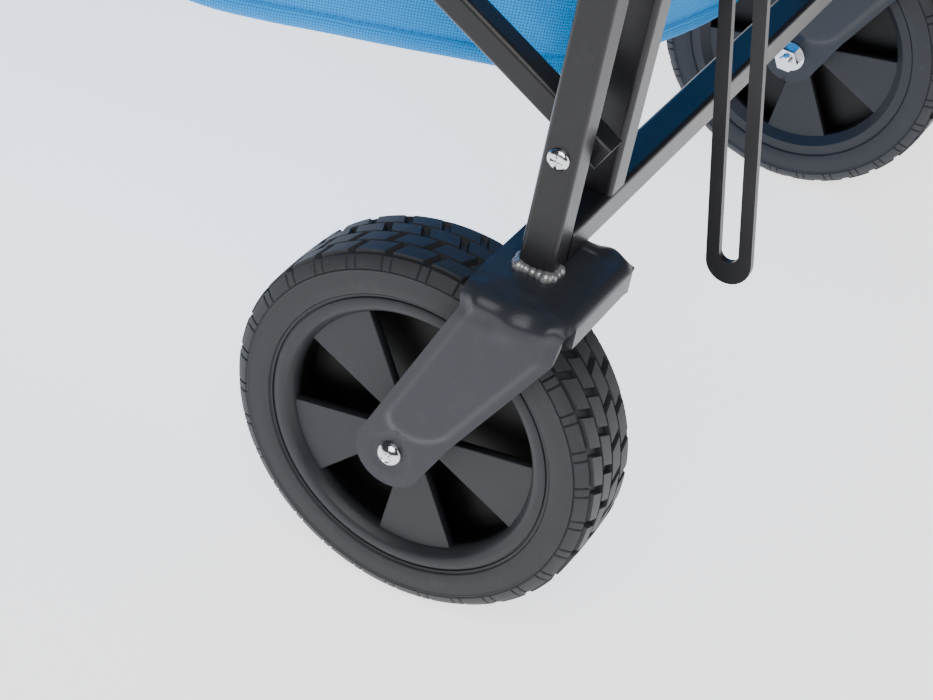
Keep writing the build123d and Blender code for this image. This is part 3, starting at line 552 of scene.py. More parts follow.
# ---------------------------------------------------------------- finishes
class CART_OT_finishes(bpy.types.Operator):
    """Make the materials and give the carried-over CAD nodes theirs."""
    bl_idname = "cart.finishes"
    bl_label = "Finishes"

    def execute(self, context):
        look = context.scene.cart_finish
        size = context.scene.cart_cloth
        grain, weave, sewn = surface_group(), weave_group(), stitch_group()
        tub_height = TUB_HIGH.z - TUB_LOW.z
        SHELF["paint"] = hard_material("frame_paint", grain, look.paint, (0.030, 0.030, 0.033), 1400.0,
            0.30, 0.10, 0.35, 0.18)
        SHELF["fork"] = hard_material("fork_paint", grain, look.fork, (0.042, 0.045, 0.054), 1100.0, 0.34,
            0.10, 0.30, 0.22)
        SHELF["plastic"] = hard_material("rim_plastic", grain, look.plastic, (0.034, 0.036, 0.042), 1800.0,
            0.40, 0.10, 0.30, 0.25, recess=rim_shade_group())
        SHELF["rubber"] = hard_material("tyre_rubber", grain, look.rubber, (0.045, 0.046, 0.052), 1500.0,
            0.56, 0.14, 0.45, 0.45)
        SHELF["black"] = hard_material("black_plastic", grain, (0.012, 0.012, 0.013), (0.030, 0.030, 0.032),
            2200.0, 0.36, 0.10, 0.25, 0.3)
        SHELF["zinc"] = hard_material("bright_zinc", grain, (0.72, 0.73, 0.75), (0.50, 0.51, 0.53), 1600.0,
            0.16, 0.14, 0.5, 0.2, metallic=1.0)
        SHELF["weld"] = hard_material("bright_weld", grain, (0.16, 0.16, 0.165), (0.62, 0.62, 0.63), 1300.0,
            0.24, 0.1, 0.9, 0.5, metallic=0.6)
        SHELF["cloth"] = cloth_material("tub_oxford", weave, sewn, look.cloth, look.cloth_shade,
            look.cloth_light, size.thread, (size.seam, tub_height - 0.028))
        SHELF["binding"] = cloth_material("edge_binding", weave, sewn, (0.012, 0.012, 0.014),
            (0.004, 0.004, 0.005), (0.035, 0.035, 0.04), 0.0011, (0.004, 0.014))
        SHELF["mat"] = cloth_material("floor_panel_cloth", weave, sewn, look.mat, (0.003, 0.003, 0.004),
            (0.030, 0.032, 0.036), 0.0013, (0.008,))
        finishes = {"tyre": "rubber", "rim": "plastic", "zinc": "zinc", "tub_fabric": "cloth", "mat": "mat",
            "fork_steel": "fork",
                    "frame_steel": "paint", "link_steel": "paint", "black_plastic": "black"}
        for entry in frame["nodes"].values():
            slots = entry.material_slots
            for place in slots:
                label = place.material.name.split(".")[0] if place.material else "frame_steel"
                place.material = SHELF[finishes.get(label, "paint")]
        return {"FINISHED"}


# ---------------------------------------------------------------- tyres and rims
def tyre_rings(radius, slope):
    """Rings of the tyre from the outer bead over the tread to the inner one, in metres."""
    edge = TYRE_HALF
    half = [
        (radius - 20.3 * MM, -edge + 1.6 * MM), (radius - 19.6 * MM, -edge + 1.2 * MM),
        (radius - 19.2 * MM, -edge + 0.3 * MM),
        (radius - 18.6 * MM, -edge), (radius - 14.0 * MM, -edge - 0.1 * MM),
        (radius - 8.9 * MM, -edge + 0.1 * MM),
        (radius - 8.4 * MM, -edge - 0.15 * MM), (radius - 8.0 * MM, -edge - 0.05 * MM),
        (radius - 7.8 * MM, -edge + 0.5 * MM),
        (radius - 5.0 * MM, -edge + 1.7 * MM), (radius - 2.7 * MM, -edge + 3.3 * MM),
        (radius - 2.2 * MM, -edge + 4.0 * MM),
    ]
    columns = [-17.4, -13.1, -8.7, -4.4]
    tread = [(radius - (3.0 + 0.0017 * along * along) * MM, along * MM) for along in columns]
    middle_ring = [(radius - 3.0 * MM, 0.0)]
    side = half + tread
    rings = side + middle_ring + [(ring, -along) for ring, along in reversed(side)]
    return [(ring, along, -slope * max(0.0, 17.4 - abs(along) / MM)) for ring, along in rings]


def make_tyre(name, axle, radius, tread):
    """Treaded tyre: turned body with shoulder and tread blocks raised from it."""
    steps = 12
    rings = tyre_rings(radius, tread.slope)
    piece = lathe(name, axle, rings, tread.pitches * steps)
    edit(piece)
    bpy.ops.mesh.select_all(action="SELECT")
    bpy.ops.mesh.normals_make_consistent(inside=False)
    pitch = 360.0 / tread.pitches
    edge = TYRE_HALF / MM

    def raise_blocks(low, high, first, last, height, shift, slit):
        """Raise the blocks of one column between two shares of a pitch."""
        def inside(place):
            ring, angle, along = polar(place, axle)
            along /= MM
            turned = angle + tread.slope * max(0.0, 17.4 - abs(along))
            share = ((turned + shift * pitch) % pitch) / pitch
            return ring > radius - 7.9 * MM and low < along < high and first < share < last
        pick(piece, "FACE", inside)
        bpy.ops.mesh.inset(thickness=slit, depth=height, use_individual=False, use_even_offset=True)

    for sign in (-1, 1):
        low, high = sorted((sign * (edge - 0.45), sign * 18.1))
        for first, last in ((0.0, 0.75), (0.75, 1.0)):
            raise_blocks(low, high, first, last, 0.8 * MM, 0.0, tread.slit)
    bounds = (-17.4, -8.7, 0.0, 8.7, 17.4)
    for index, (low, high) in enumerate(zip(bounds, bounds[1:])):
        raise_blocks(low, high, 0.0, 10 / 12, tread.block, 0.5 * (index % 2), tread.slit)
    bpy.ops.object.mode_set(mode="OBJECT")
    return close(piece, 28.0)


def make_rim(name, axle, radius, reach):
    """Moulded rim: lip ring, deep barrel with a web, five flat wedge spokes and the hub."""
    seat = radius - 19.6 * MM
    face = -TYRE_HALF + 1.0 * MM
    ring = [
        (seat - 10.8 * MM, face + 21 * MM), (seat - 10.8 * MM, face + 5.0 * MM),
        (seat - 9.9 * MM, face + 3.4 * MM),
        (seat - 8.4 * MM, face + 1.1 * MM), (seat - 7.4 * MM, face + 0.2 * MM),
        (seat - 5.2 * MM, face - 0.4 * MM),
        (seat - 3.0 * MM, face - 0.2 * MM), (seat - 2.2 * MM, face + 0.2 * MM),
        (seat - 1.9 * MM, face + 1.1 * MM),
        (seat - 1.5 * MM, face + 1.1 * MM), (seat - 1.2 * MM, face + 0.1 * MM),
        (seat - 0.3 * MM, face + 0.2 * MM),
        (seat, face + 0.9 * MM), (seat, -face - 0.9 * MM), (seat - 0.6 * MM, -face),
        (seat - 6.0 * MM, -face),
        (seat - 10.8 * MM, -face - 5.0 * MM), (seat - 10.8 * MM, face + 24.0 * MM),
        (15 * MM, face + 24.0 * MM),
        (15 * MM, face + 21 * MM), (seat - 10.8 * MM, face + 21 * MM),
    ]
    barrel = lathe(name + "_barrel", axle, ring, 180)
    back = 5.0 * MM
    plate = lathe(name + "_plate", axle,
        [(13 * MM, face + 4.6 * MM), (17 * MM, face + 4.6 * MM), (seat - 10.3 * MM, face + 4.6 * MM)], 180)
    edit(plate)

    def in_gap(place):
        ring_radius, angle, _ = polar(place, axle)
        return ring_radius > 17.5 * MM and ((angle - 66.0 + 18.0) % 72.0) > 36.0
    pick(plate, "FACE", in_gap)
    bpy.ops.mesh.delete(type="FACE")
    bpy.ops.object.mode_set(mode="OBJECT")
    close(plate)
    edit(plate)
    bpy.ops.mesh.select_all(action="SELECT")
    bpy.ops.mesh.extrude_region_move(TRANSFORM_OT_translate={"value": (0, back, 0)})
    bpy.ops.object.mode_set(mode="OBJECT")
    close(plate)
    apply(plate, "BEVEL", width=0.5 * MM, segments=2, limit_method="ANGLE", angle_limit=math.radians(50))
    hub = lathe(name + "_hub", axle, [
        (4.1 * MM, -reach), (8.5 * MM, -reach), (9.4 * MM, -reach + 0.8 * MM), (12.4 * MM, face + 2.0 * MM),
        (14.2 * MM, face + 3.4 * MM),
        (15.0 * MM, face + 5.2 * MM), (15.0 * MM, -face - 5.2 * MM), (9.4 * MM, reach - 0.8 * MM),
        (8.5 * MM, reach), (4.1 * MM, reach),
        (4.1 * MM, -reach)], 60)
    back_plate = copy(plate, name + "_back_plate", (0, -2 * face - 9.2 * MM - back, 0))
    piece = join(name, [barrel, plate, back_plate, hub])
    return close(piece, 35.0)


class CART_OT_wheels(bpy.types.Operator):
    """Model the treaded tyres and moulded rims, and copy them to all four corners."""
    bl_idname = "cart.wheels"
    bl_label = "Wheels"

    def execute(self, context):
        tread = context.scene.cart_tread
        for end, axle, radius in (("rear", REAR_AXLE, REAR_RADIUS), ("front", FRONT_AXLE, FRONT_RADIUS)):
            reach = span(f"{end}_rim_left").y / 2
            tyre = make_tyre(f"{end}_tyre_tread_left", axle, radius, tread)
            rim = make_rim(f"{end}_rim_moulded_left", axle, radius, reach)
            for side in SIDES:
                left = side == "left"
                tyre_piece = tyre if left else mirror(tyre, f"{end}_tyre_tread_right")
                rim_piece = rim if left else mirror(rim, f"{end}_rim_moulded_right")
                settle(tyre_piece, f"{end}_wheel_{side}", SHELF["rubber"], [f"{end}_tyre_{side}"])
                settle(rim_piece, f"{end}_wheel_{side}", SHELF["plastic"], [f"{end}_rim_{side}"])
        return {"FINISHED"}


# ---------------------------------------------------------------- forks
def make_fork(name, axle, node_name, flipped):
    """Pressed U fork: a grid shaped as the folded sheet, with its raised tongue and rolled shoulder."""
    low, high = (Vector(corner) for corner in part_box(node_name))
    drop = (high.z - axle.z) / MM
    width = (high.y - low.y) / MM
    scale = drop / 100.0
    reach = high.x - axle.x if not flipped else axle.x - low.x
    right = reach / MM
    eye, bend = 17.0, 8.0
    bridge_length = 49.0
    left = right - bridge_length
    tongue_depth = 2.2
    tongue_inset = 3.0
    tongue_slope = 5.0
    tongue_foot = 24.0
    bolt_seat = 11.0
    roll = 5.0
    narrowing = 2.0
    arm_dents = 12.0
    bridge_dents = 9.0
    left_line = [(-17.0, 0.0), (8.5, -14.6), (drop - 12.0, left + 0.6), (drop, left)]
    right_line = [(-5.0, 16.2), (18.0 * scale, 15.5 + 11.5 * scale), (drop - 20.0, right - 3.4),
        (drop - 8.0, right - 2.0), (drop, right)]

    def edges(height):
        """Left and right edge of an arm at a height above the axle."""
        if height < 8.5:
            first = -math.sqrt(max(eye * eye - height * height, 0.2))
        else:
            first = line(height, left_line)
        if height < -5.0:
            last = math.sqrt(max(eye * eye - height * height, 0.2))
        else:
            last = line(height, right_line)
        return first, last

    half = width / 2
    arm_rows = 74
    bend_rows = 12
    bridge_rows = 34
    rows = []
    for index in range(arm_rows + 1):
        share = index / arm_rows
        height = -eye * math.cos(share * 2.2) if share < 0.28 else None
        first_top = -eye * math.cos(0.28 * 2.2)
        if height is None:
            height = first_top + (drop - bend - first_top) * (share - 0.28) / 0.72
        rows.append((-half, height, 0.0, 0))
    for index in range(1, bend_rows):
        turn = index / bend_rows * math.pi / 2
        rows.append((-half + bend * (1 - math.cos(turn)), drop - bend + bend * math.sin(turn), turn, 1))
    for index in range(bridge_rows + 1):
        rows.append((-half + bend + (width - 2 * bend) * index / bridge_rows, drop, math.pi / 2, 2))
    rows += [(-across, height, math.pi - turn, kind) for across, height, turn,
        kind in reversed(rows[:arm_rows + bend_rows])]
    columns = 44
    clear()
    bpy.ops.mesh.primitive_grid_add(x_subdivisions=columns, y_subdivisions=len(rows) - 1, size=2.0,
        location=(0, 0, 0))
    piece = start(name)
    bpy.ops.object.mode_set(mode="OBJECT")
    for vert in piece.data.vertices:
        column = round((vert.co.x + 1) / 2 * columns)
        row = round((vert.co.y + 1) / 2 * (len(rows) - 1))
        across, height, turn, kind = rows[row]
        first, last = edges(min(height, drop)) if kind == 0 else (left, right)
        if kind == 1:
            last = right - narrowing * (1 - math.sin(turn))
        share = column / columns
        along = first + (last - first) * share
        out = 0.0
        inset = min(along - first, last - along)
        tongue = smooth((inset - tongue_inset) / tongue_slope)
        if kind == 1:
            out = tongue_depth * tongue * (1 - smooth(abs(math.sin(turn))))
        if kind == 0:
            tip = math.hypot(along - (first + last) / 2, max(tongue_foot - height, 0.0) * 1.3)
            foot = smooth(((last - first) / 2 - tongue_inset - tip) / tongue_slope)
            out = tongue_depth * min(tongue, foot)
            if across < 0 and math.hypot(along, height) < bolt_seat:
                out = -0.5 * smooth((bolt_seat - math.hypot(along, height)) / 2.5)
        if kind == 1:
            near = 1.0
        elif kind == 0:
            near = smooth((height - (drop - bend - arm_dents)) / arm_dents)
        else:
            near = smooth((abs(across) - (half - bend - bridge_dents)) / bridge_dents)
        if near > 0:
            seed = Vector((along * 0.085, across * 0.09, height * 0.09 + 4.0))
            out += near * (2.3 * noise.noise(seed) - 0.35)
        if kind == 0:
            out_y = -out if across < 0 else out
            place = (along, across + out_y, height)
        elif kind == 1:
            sign = 1.0 if across < 0 else -1.0
            place = (along, across - sign * out * abs(math.cos(turn)), height + out * abs(math.sin(turn)))
        else:
            place = (along, across, height + out)
        if kind > 0:
            share = min(max((along - right + roll) / roll, 0.0), 0.95)
            rolled = roll * (1 - math.sqrt(1 - share * share)) * math.sin(turn) ** 2
            place = (place[0], place[1], place[2] - rolled)
        turned = -1 if flipped else 1
        vert.co = Vector((axle.x + turned * place[0] * MM, axle.y + place[1] * MM, axle.z + place[2] * MM))
    edit(piece)
    edge_x = axle.x + (-right if flipped else right) * MM
    pick(piece, "EDGE", lambda place: abs(place.x - edge_x) < 0.05 * MM and place.z > high.z - 6.0 * MM
         and low.y + 10.0 * MM < place.y < high.y - 6.0 * MM)
    outward = -1 if flipped else 1
    for step_x, step_z in ((0.15, -1.2), (0.05, -1.6), (0.0, -7.6)):
        bpy.ops.mesh.extrude_edges_move(TRANSFORM_OT_translate={"value": (outward * step_x * MM, 0,
            step_z * MM)})
    bpy.ops.object.mode_set(mode="OBJECT")
    close(piece)
    outside = sum(1 for face in piece.data.polygons if face.normal.z > 0.9)
    inside = sum(1 for face in piece.data.polygons if face.normal.z < -0.9)
    if inside > outside:
        piece.data.flip_normals()
    apply(piece, "SOLIDIFY", thickness=3.0 * MM, offset=-1.0, use_even_offset=False)
    apply(piece, "BEVEL", width=0.55 * MM, segments=2, limit_method="ANGLE", angle_limit=math.radians(60))
    return close(piece, 40.0)


class CART_OT_forks(bpy.types.Operator):
    """Model the pressed rear forks and caster forks."""
    bl_idname = "cart.forks"
    bl_label = "Forks"

    def execute(self, context):
        rear = make_fork("rear_fork_pressed_left", REAR_AXLE, "rear_fork_left", False)
        front = make_fork("caster_fork_pressed_left", FRONT_AXLE, "caster_fork_left", True)
        for side in SIDES:
            rear_piece = rear if side == "left" else mirror(rear, "rear_fork_pressed_right")
            front_piece = front if side == "left" else mirror(front, "caster_fork_pressed_right")
            settle(rear_piece, "rear_frame", SHELF["fork"], [f"rear_fork_{side}"])
            settle(front_piece, f"caster_{side}", SHELF["fork"], [f"caster_fork_{side}"])
        return {"FINISHED"}


# ---------------------------------------------------------------- fasteners and welds
def make_axle_bolt(name, axle, face, inner):
    """Domed axle bolt: head outside the arm, shank through the hub."""
    outer = face - axle.y
    rings = [
        (0.35 * MM, outer - 3.55 * MM), (1.6 * MM, outer - 3.5 * MM), (1.9 * MM, outer - 3.0 * MM),
        (2.5 * MM, outer - 3.0 * MM),
        (2.9 * MM, outer - 3.35 * MM), (4.2 * MM, outer - 2.7 * MM), (5.3 * MM, outer - 1.6 * MM),
        (5.9 * MM, outer - 0.6 * MM),
        (6.0 * MM, outer), (6.0 * MM, outer + 0.4 * MM), (4.0 * MM, outer + 0.4 * MM),
        (4.0 * MM, inner - axle.y), (3.2 * MM, inner - axle.y + 0.6 * MM)]
    return close(lathe(name, axle, rings, 48, capped=True), 30.0)


def make_pivot_bolt(name, post, node_name):
    """Cross-recessed pan head on the post, its shank, spacer and nut."""
    low, high = (Vector(corner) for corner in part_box(node_name))
    centre = Vector((post.x, -REAR_CENTRE, (low.z + high.z) / 2))
    head = low.y + REAR_CENTRE
    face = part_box("rear_post_left")[0][1] + REAR_CENTRE
    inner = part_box("rear_post_left")[1][1] + REAR_CENTRE
    bar = "inner_bar_rear_left" if node_name.startswith("front") else "outer_bar_rear_left"
    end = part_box(bar)[1][1] + REAR_CENTRE
    rings = [
        (0.5 * MM, head + 0.1 * MM), (1.0 * MM, head + 0.1 * MM), (2.9 * MM, head + 0.2 * MM),
        (4.1 * MM, head + 0.7 * MM),
        (4.8 * MM, head + 1.5 * MM), (5.0 * MM, head + 2.2 * MM), (5.0 * MM, face), (3.0 * MM, face),
        (3.0 * MM, inner),
        (6.0 * MM, inner), (6.0 * MM, inner + 3.6 * MM), (3.0 * MM, inner + 3.6 * MM),
        (3.0 * MM, end + 0.3 * MM)]
    piece = lathe(name, centre, rings, 48, capped=True)
    edit(piece)

    def recess(place):
        radius, angle, along = polar(place, centre)
        arm = abs(((angle + 45.0) % 90.0) - 45.0)
        return along < head + 0.4 * MM and radius < 2.9 * MM and (arm < 15.0 or radius < 0.9 * MM)
    pick(piece, "FACE", recess)
    bpy.ops.mesh.extrude_region_move(TRANSFORM_OT_translate={"value": (0, 1.0 * MM, 0)})
    bpy.ops.transform.resize(value=(0.75, 1, 0.75), center_override=centre)
    bpy.ops.object.mode_set(mode="OBJECT")
    return close(piece, 30.0)


REAR_CENTRE = -REAR_POST.y


def weld_row(name, first, last, count, radius):
    """A lumpy weld bead between two points."""
    blobs = []
    for index in range(count):
        clear()
        place = first.lerp(last, (index + 0.5) / count)
        bpy.ops.mesh.primitive_uv_sphere_add(segments=14, ring_count=9, radius=radius, location=place)
        blob = start(f"{name}_{index}")
        lump = 0.82 + 0.36 * noise.noise(place * 900 + Vector((index, 0, 0)))
        bpy.ops.transform.resize(value=(lump * 1.25, lump * 1.25, 1.3 * lump), center_override=place)
        bpy.ops.object.mode_set(mode="OBJECT")
        blobs.append(blob)
    piece = join(name, blobs)
    apply(piece, "REMESH", mode="VOXEL", voxel_size=0.35 * MM, use_smooth_shade=True)
    apply(piece, "SMOOTH", factor=0.6, iterations=3)
    return close(piece, 60.0)


class CART_OT_fasteners(bpy.types.Operator):
    """Model the axle bolts, pivot bolts and the weld beads at the post feet."""
    bl_idname = "cart.fasteners"
    bl_label = "Fasteners and welds"

    def execute(self, context):
        arm_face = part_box("rear_fork_left")[0][1]
        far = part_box("rear_fork_left")[1][1] + 11.0 * MM
        axle = make_axle_bolt("rear_axle_bolt_left", REAR_AXLE, arm_face, far)
        bolts = join("rear_axle_bolts_domed", [axle, mirror(axle, "rear_axle_bolt_right")])
        settle(bolts, "rear_frame", SHELF["zinc"], ["rear_axle_bolts"])
        for end, post, body in (("rear", REAR_POST, "rear_frame"), ("front", FRONT_POST, "front_frame")):
            pivot = make_pivot_bolt(f"{end}_pivot_bolt_left", post, f"{end}_pivot_bolts")
            pair = join(f"{end}_pivot_bolts_crosshead", [pivot, mirror(pivot, f"{end}_pivot_bolt_right")])
            settle(pair, body, SHELF["zinc"], [f"{end}_pivot_bolts"])
        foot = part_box("rear_post_left")[0][2]
        half = 8.0 * MM
        spots = [
            (Vector((-half, -half - 0.2 * MM, 0.4 * MM)), Vector((half, -half - 0.2 * MM, 0.4 * MM)), 5,
            2.7 * MM),
            (Vector((half + 0.2 * MM, -half, 0.4 * MM)), Vector((half + 0.2 * MM, half * 0.2, 0.4 * MM)), 3,
            2.6 * MM),
            (Vector((-half - 0.2 * MM, -half, 0.4 * MM)), Vector((-half - 0.2 * MM, half, 0.4 * MM)), 4,
            2.6 * MM),
        ]
        rows = []
        for index, (first, last, count, radius) in enumerate(spots):
            base = Vector((REAR_POST.x, REAR_POST.y, foot))
            rows.append(weld_row(f"weld_row_{index}", base + first, base + last, count, radius))
        left = join("weld_beads_left", rows)
        right = mirror(left, "weld_beads_right")
        for piece in (left, right):
            settle(piece, "rear_frame", SHELF["weld"])
        return {"FINISHED"}


# ---------------------------------------------------------------- cloth
def corner_lift(x, y, cloth):
    """How far the drawn-up corners raise the lower edge at a place in plan."""
    half_x = (TUB_HIGH.x - TUB_LOW.x) / 2
    half_y = (TUB_HIGH.y - TUB_LOW.y) / 2
    from_end = half_x - abs(x - (TUB_HIGH.x + TUB_LOW.x) / 2)
    from_side = half_y - abs(y)
    share = 1 - max(from_end, 0) / cloth.corner_run_x - max(from_side, 0) / cloth.corner_run_y
    eased = math.log(1 + math.exp(share * 24)) / 24
    return cloth.corner_rise * min(eased, 1.0)


def make_tub(cloth):
    """Tub: a box opened at the top, cut finely, then rounded, drawn up at its corners and softly folded."""
    low, high = TUB_LOW, TUB_HIGH
    size = high - low
    centre = (low + high) / 2
    clear()
    bpy.ops.mesh.primitive_cube_add(size=1.0, location=centre, scale=size)
    piece = start("tub_cloth")
    pick(piece, "FACE", lambda place: place.z > high.z - 1e-4)
    bpy.ops.mesh.delete(type="FACE")
    bpy.ops.mesh.select_all(action="SELECT")
    bpy.ops.mesh.subdivide(number_cuts=71)
    bpy.ops.object.mode_set(mode="OBJECT")
    half = size / 2
    round_corner, round_edge = 0.030, 0.005
    attribute = piece.data.attributes.new("cloth", "FLOAT_VECTOR", "POINT")
    for index, vert in enumerate(piece.data.vertices):
        x, y, z = vert.co - centre
        share = (z + half.z) / size.z
        wall = max(abs(x) / half.x, abs(y) / half.y) > 0.9999
        rise = size.z * share ** 1.6 if wall else 0.0
        if not wall:
            x *= 1 - round_edge / half.x
            y *= 1 - round_edge / half.y
        core = Vector((min(max(x, -half.x + round_corner), half.x - round_corner),
            min(max(y, -half.y + round_corner), half.y - round_corner)))
        away = Vector((x, y)) - core
        if away.length > 1e-9:
            away *= max(abs(away.x), abs(away.y)) / away.length
        plan = core + away
        outward = away.normalized() if away.length > 1e-9 else Vector((0, 0))
        if wall:
            across_side = abs(y) / half.y > 0.9999
            if across_side:
                run = x + (0.85 if y > 0 else -0.85)
            else:
                run = y + (1.7 if x > 0 else -1.7)
            curl = max(round_edge - rise, 0.0)
            pull = round_edge - math.sqrt(max(round_edge ** 2 - curl ** 2, 0.0))
            near_corner = max(1 - (half.x - abs(x)) / 0.16, 0.0) * max(1 - (half.y - abs(y)) / 0.16, 0.0)
            fade = smooth(rise / 0.05) * smooth((size.z - rise) / 0.05)
            fold = noise.noise(Vector((x * 11, y * 11, rise * 4.5))) + 0.5 * noise.noise(Vector((x * 30,
                y * 30, rise * 11 + 3)))
            tight = noise.noise(Vector((x * 55 + 7, y * 55, rise * 14)))
            shift = -cloth.wrinkle * 0.5 + cloth.wrinkle * 0.9 * fold
            shift += cloth.wrinkle * 1.1 * near_corner * tight
            shift = min(shift, 0.0022) * (0.25 + 0.75 * fade)
            groove = math.exp(-((rise - cloth.seam) / 0.0016) ** 2) * 0.0012
            puff = math.exp(-((rise - 0.0055) / 0.0035) ** 2) * 0.0008
            pucker = 0.0007 * noise.noise(Vector((run * 120, rise * 90,
                1.0))) * math.exp(-((rise - cloth.seam) / 0.012) ** 2)
            plan += outward * (shift - pull - groove + puff + pucker)
            attribute.data[index].vector = (run, rise, 0.0)
        else:
            attribute.data[index].vector = (x, y + 3.0, 0.0)
        lift = corner_lift(plan.x + centre.x, plan.y, cloth)
        bottom = low.z + lift - 0.003
        if wall:
            height = bottom + rise * (high.z - bottom) / size.z
            height += 0.0016 * noise.noise(Vector((x * 16, y * 16, 2.0))) * (1 - smooth(rise / 0.05))
        else:
            sag = (1 - (x / half.x) ** 2) * (1 - (y / half.y) ** 2)
            height = bottom - 0.004 * sag + 0.0012 * noise.noise(Vector((x * 20, y * 20,
                5.0))) * smooth(sag * 4)
        vert.co = Vector((plan.x + centre.x, plan.y, height))
    return piece


def make_binding(tub):
    """Folded tape over the tub's top edge, drawn down from its edge loop."""
    edit(tub)
    top = TUB_HIGH.z
    pick(tub, "EDGE", lambda place: place.z > top - 0.2 * MM)
    bpy.ops.mesh.duplicate()
    before = set(bpy.data.objects)
    bpy.ops.mesh.separate(type="SELECTED")
    bpy.ops.object.mode_set(mode="OBJECT")
    piece = (set(bpy.data.objects) - before).pop()
    piece.name = "tub_top_binding"
    piece.data.name = "tub_top_binding"
    edit(piece)
    bpy.ops.mesh.select_all(action="SELECT")
    bpy.ops.transform.translate(value=(0, 0, 0.8 * MM))
    for _ in range(6):
        bpy.ops.mesh.extrude_edges_move(TRANSFORM_OT_translate={"value": (0, 0, -3.0 * MM)})
    bpy.ops.object.mode_set(mode="OBJECT")
    attribute = piece.data.attributes["cloth"]
    for index, vert in enumerate(piece.data.vertices):
        run = attribute.data[index].vector[0]
        attribute.data[index].vector = (run, top + 0.8 * MM - vert.co.z, 0.0)
    apply(piece, "SOLIDIFY", thickness=3.4 * MM, offset=0.0)
    apply(piece, "BEVEL", width=0.9 * MM, segments=2, limit_method="ANGLE", angle_limit=math.radians(50))
    return close(piece, 40.0)


def make_strap(name, path, y, width, thickness):
    """Webbing strap: one edge drawn along a path of (x, z) points."""
    clear()
    bpy.ops.mesh.primitive_plane_add(size=1.0, location=(0, 0, 0))
    piece = start(name)
    bpy.ops.object.mode_set(mode="OBJECT")
    for vert in piece.data.vertices:
        x, z = path[0] if vert.co.x < 0 else path[1]
        vert.co = Vector((x, y + (width / 2 if vert.co.y > 0 else -width / 2), z))
    edit(piece)
    end = Vector((path[1][0], y, path[1][1]))
    pick(piece, "EDGE", lambda place: (place - end).length < 1e-5)
    for (x0, z0), (x1, z1) in zip(path[1:], path[2:]):
        bpy.ops.mesh.extrude_edges_move(TRANSFORM_OT_translate={"value": (x1 - x0, 0, z1 - z0)})
    bpy.ops.object.mode_set(mode="OBJECT")
    run, last = 0.0, None
    attribute = piece.data.attributes.new("cloth", "FLOAT_VECTOR", "POINT")
    lengths = {}
    for index, (x, z) in enumerate(path):
        run += 0.0 if last is None else math.hypot(x - last[0], z - last[1])
        lengths[index] = run
        last = (x, z)
    for index, vert in enumerate(piece.data.vertices):
        near = min(range(len(path)),
            key=lambda step: math.hypot(vert.co.x - path[step][0], vert.co.z - path[step][1]))
        attribute.data[index].vector = (lengths[near], vert.co.y - y + width / 2, 0.0)
    apply(piece, "SUBSURF", levels=2, render_levels=2)
    apply(piece, "SOLIDIFY", thickness=thickness, offset=0.0)
    return close(piece, 50.0)


def make_panel(cloth):
    """Floor panel: four padded boards in one cloth cover, with sewn folds between them."""
    low, high = (Vector(corner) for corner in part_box("floor_mat"))
    centre = (low + high) / 2
    half = (high - low) / 2
    clear()
    bpy.ops.mesh.primitive_cube_add(size=1.0, location=centre, scale=high - low)
    piece = start("floor_panel")
    bpy.ops.mesh.select_all(action="SELECT")
    bpy.ops.mesh.subdivide(number_cuts=63)
    bpy.ops.object.mode_set(mode="OBJECT")
    tub_half = (TUB_HIGH - TUB_LOW) / 2
    attribute = piece.data.attributes.new("cloth", "FLOAT_VECTOR", "POINT")
    for index, vert in enumerate(piece.data.vertices):
        x, y, z = vert.co - centre
        from_side = tub_half.y - abs(y)
        cut = max(0.0, cloth.corner_run_x * (1.06 - from_side / cloth.corner_run_y) - (tub_half.x - half.x))
        x *= 1 - smooth(cut / 0.02) * cut / half.x if cut > 0 else 1.0
        panel = half.x / 2
        channel = math.exp(-(min(abs(x),
            abs(abs(x) - panel)) / 0.0045) ** 2) if abs(x) < half.x - 0.02 else 0.0
        rim = min(half.x - abs(x), half.y - abs(y))
        crown = smooth(rim / 0.010)
        level = z / half.z
        thick = half.z * (0.35 + 0.65 * crown) * (1 - 0.55 * channel)
        ripple = 0.0004 * noise.noise(Vector((x * 40, y * 40, 0.5))) * crown
        vert.co = Vector((x + centre.x, y, centre.z + level * thick + ripple))
        attribute.data[index].vector = (x, rim, 0.0) if rim < 0.012 else (x, y + 0.5, 0.0)
    return close(piece, 50.0)


class CART_OT_cloth(bpy.types.Operator):
    """Model the tub cloth, its binding and straps, and the floor panel."""
    bl_idname = "cart.cloth"
    bl_label = "Cloth"

    def execute(self, context):
        cloth = context.scene.cart_cloth
        tub = make_tub(cloth)
        binding = make_binding(tub)
        apply(tub, "SOLIDIFY", thickness=0.9 * MM, offset=-1.0)
        close(tub, 60.0)
        panel = make_panel(cloth)
        settle(tub, "rear_frame", SHELF["cloth"], ["tub"])
        settle(binding, "rear_frame", SHELF["binding"])
        settle(panel, "rear_frame", SHELF["mat"], ["floor_mat"])
        for end, body, wall in (("rear", "rear_frame", TUB_HIGH.x), ("front", "front_frame", TUB_LOW.x)):
            rail = middle(f"{end}_top_rail")
            out = 1 if end == "rear" else -1
            r = span(f"{end}_top_rail").x / 2 + 1.4 * MM
            gap = abs(rail.x - wall)
            shape = [(gap + 3.0 * MM, -0.062), (gap + 2.6 * MM, -0.040), (gap + 1.8 * MM, -0.024), (r, -r),
                (r, 0), (r, r), (0, r + 0.2 * MM),
                     (-r, r), (-r, 0), (-r, -r), (0, -r - 0.4 * MM), (gap * 0.5, -0.020),
                     (gap - 4.4 * MM, -0.030), (gap - 4.6 * MM, -0.062)]
            path = [(rail.x - out * x, rail.z + z) for x, z in shape]
            for label, y in (("left", -0.13), ("right", 0.13)):
                strap = make_strap(f"{end}_strap_{label}", path, y, 0.028, 1.4 * MM)
                settle(strap, body, SHELF["binding"])
        for piece in (tub, binding, panel):
            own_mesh(piece)
        return {"FINISHED"}


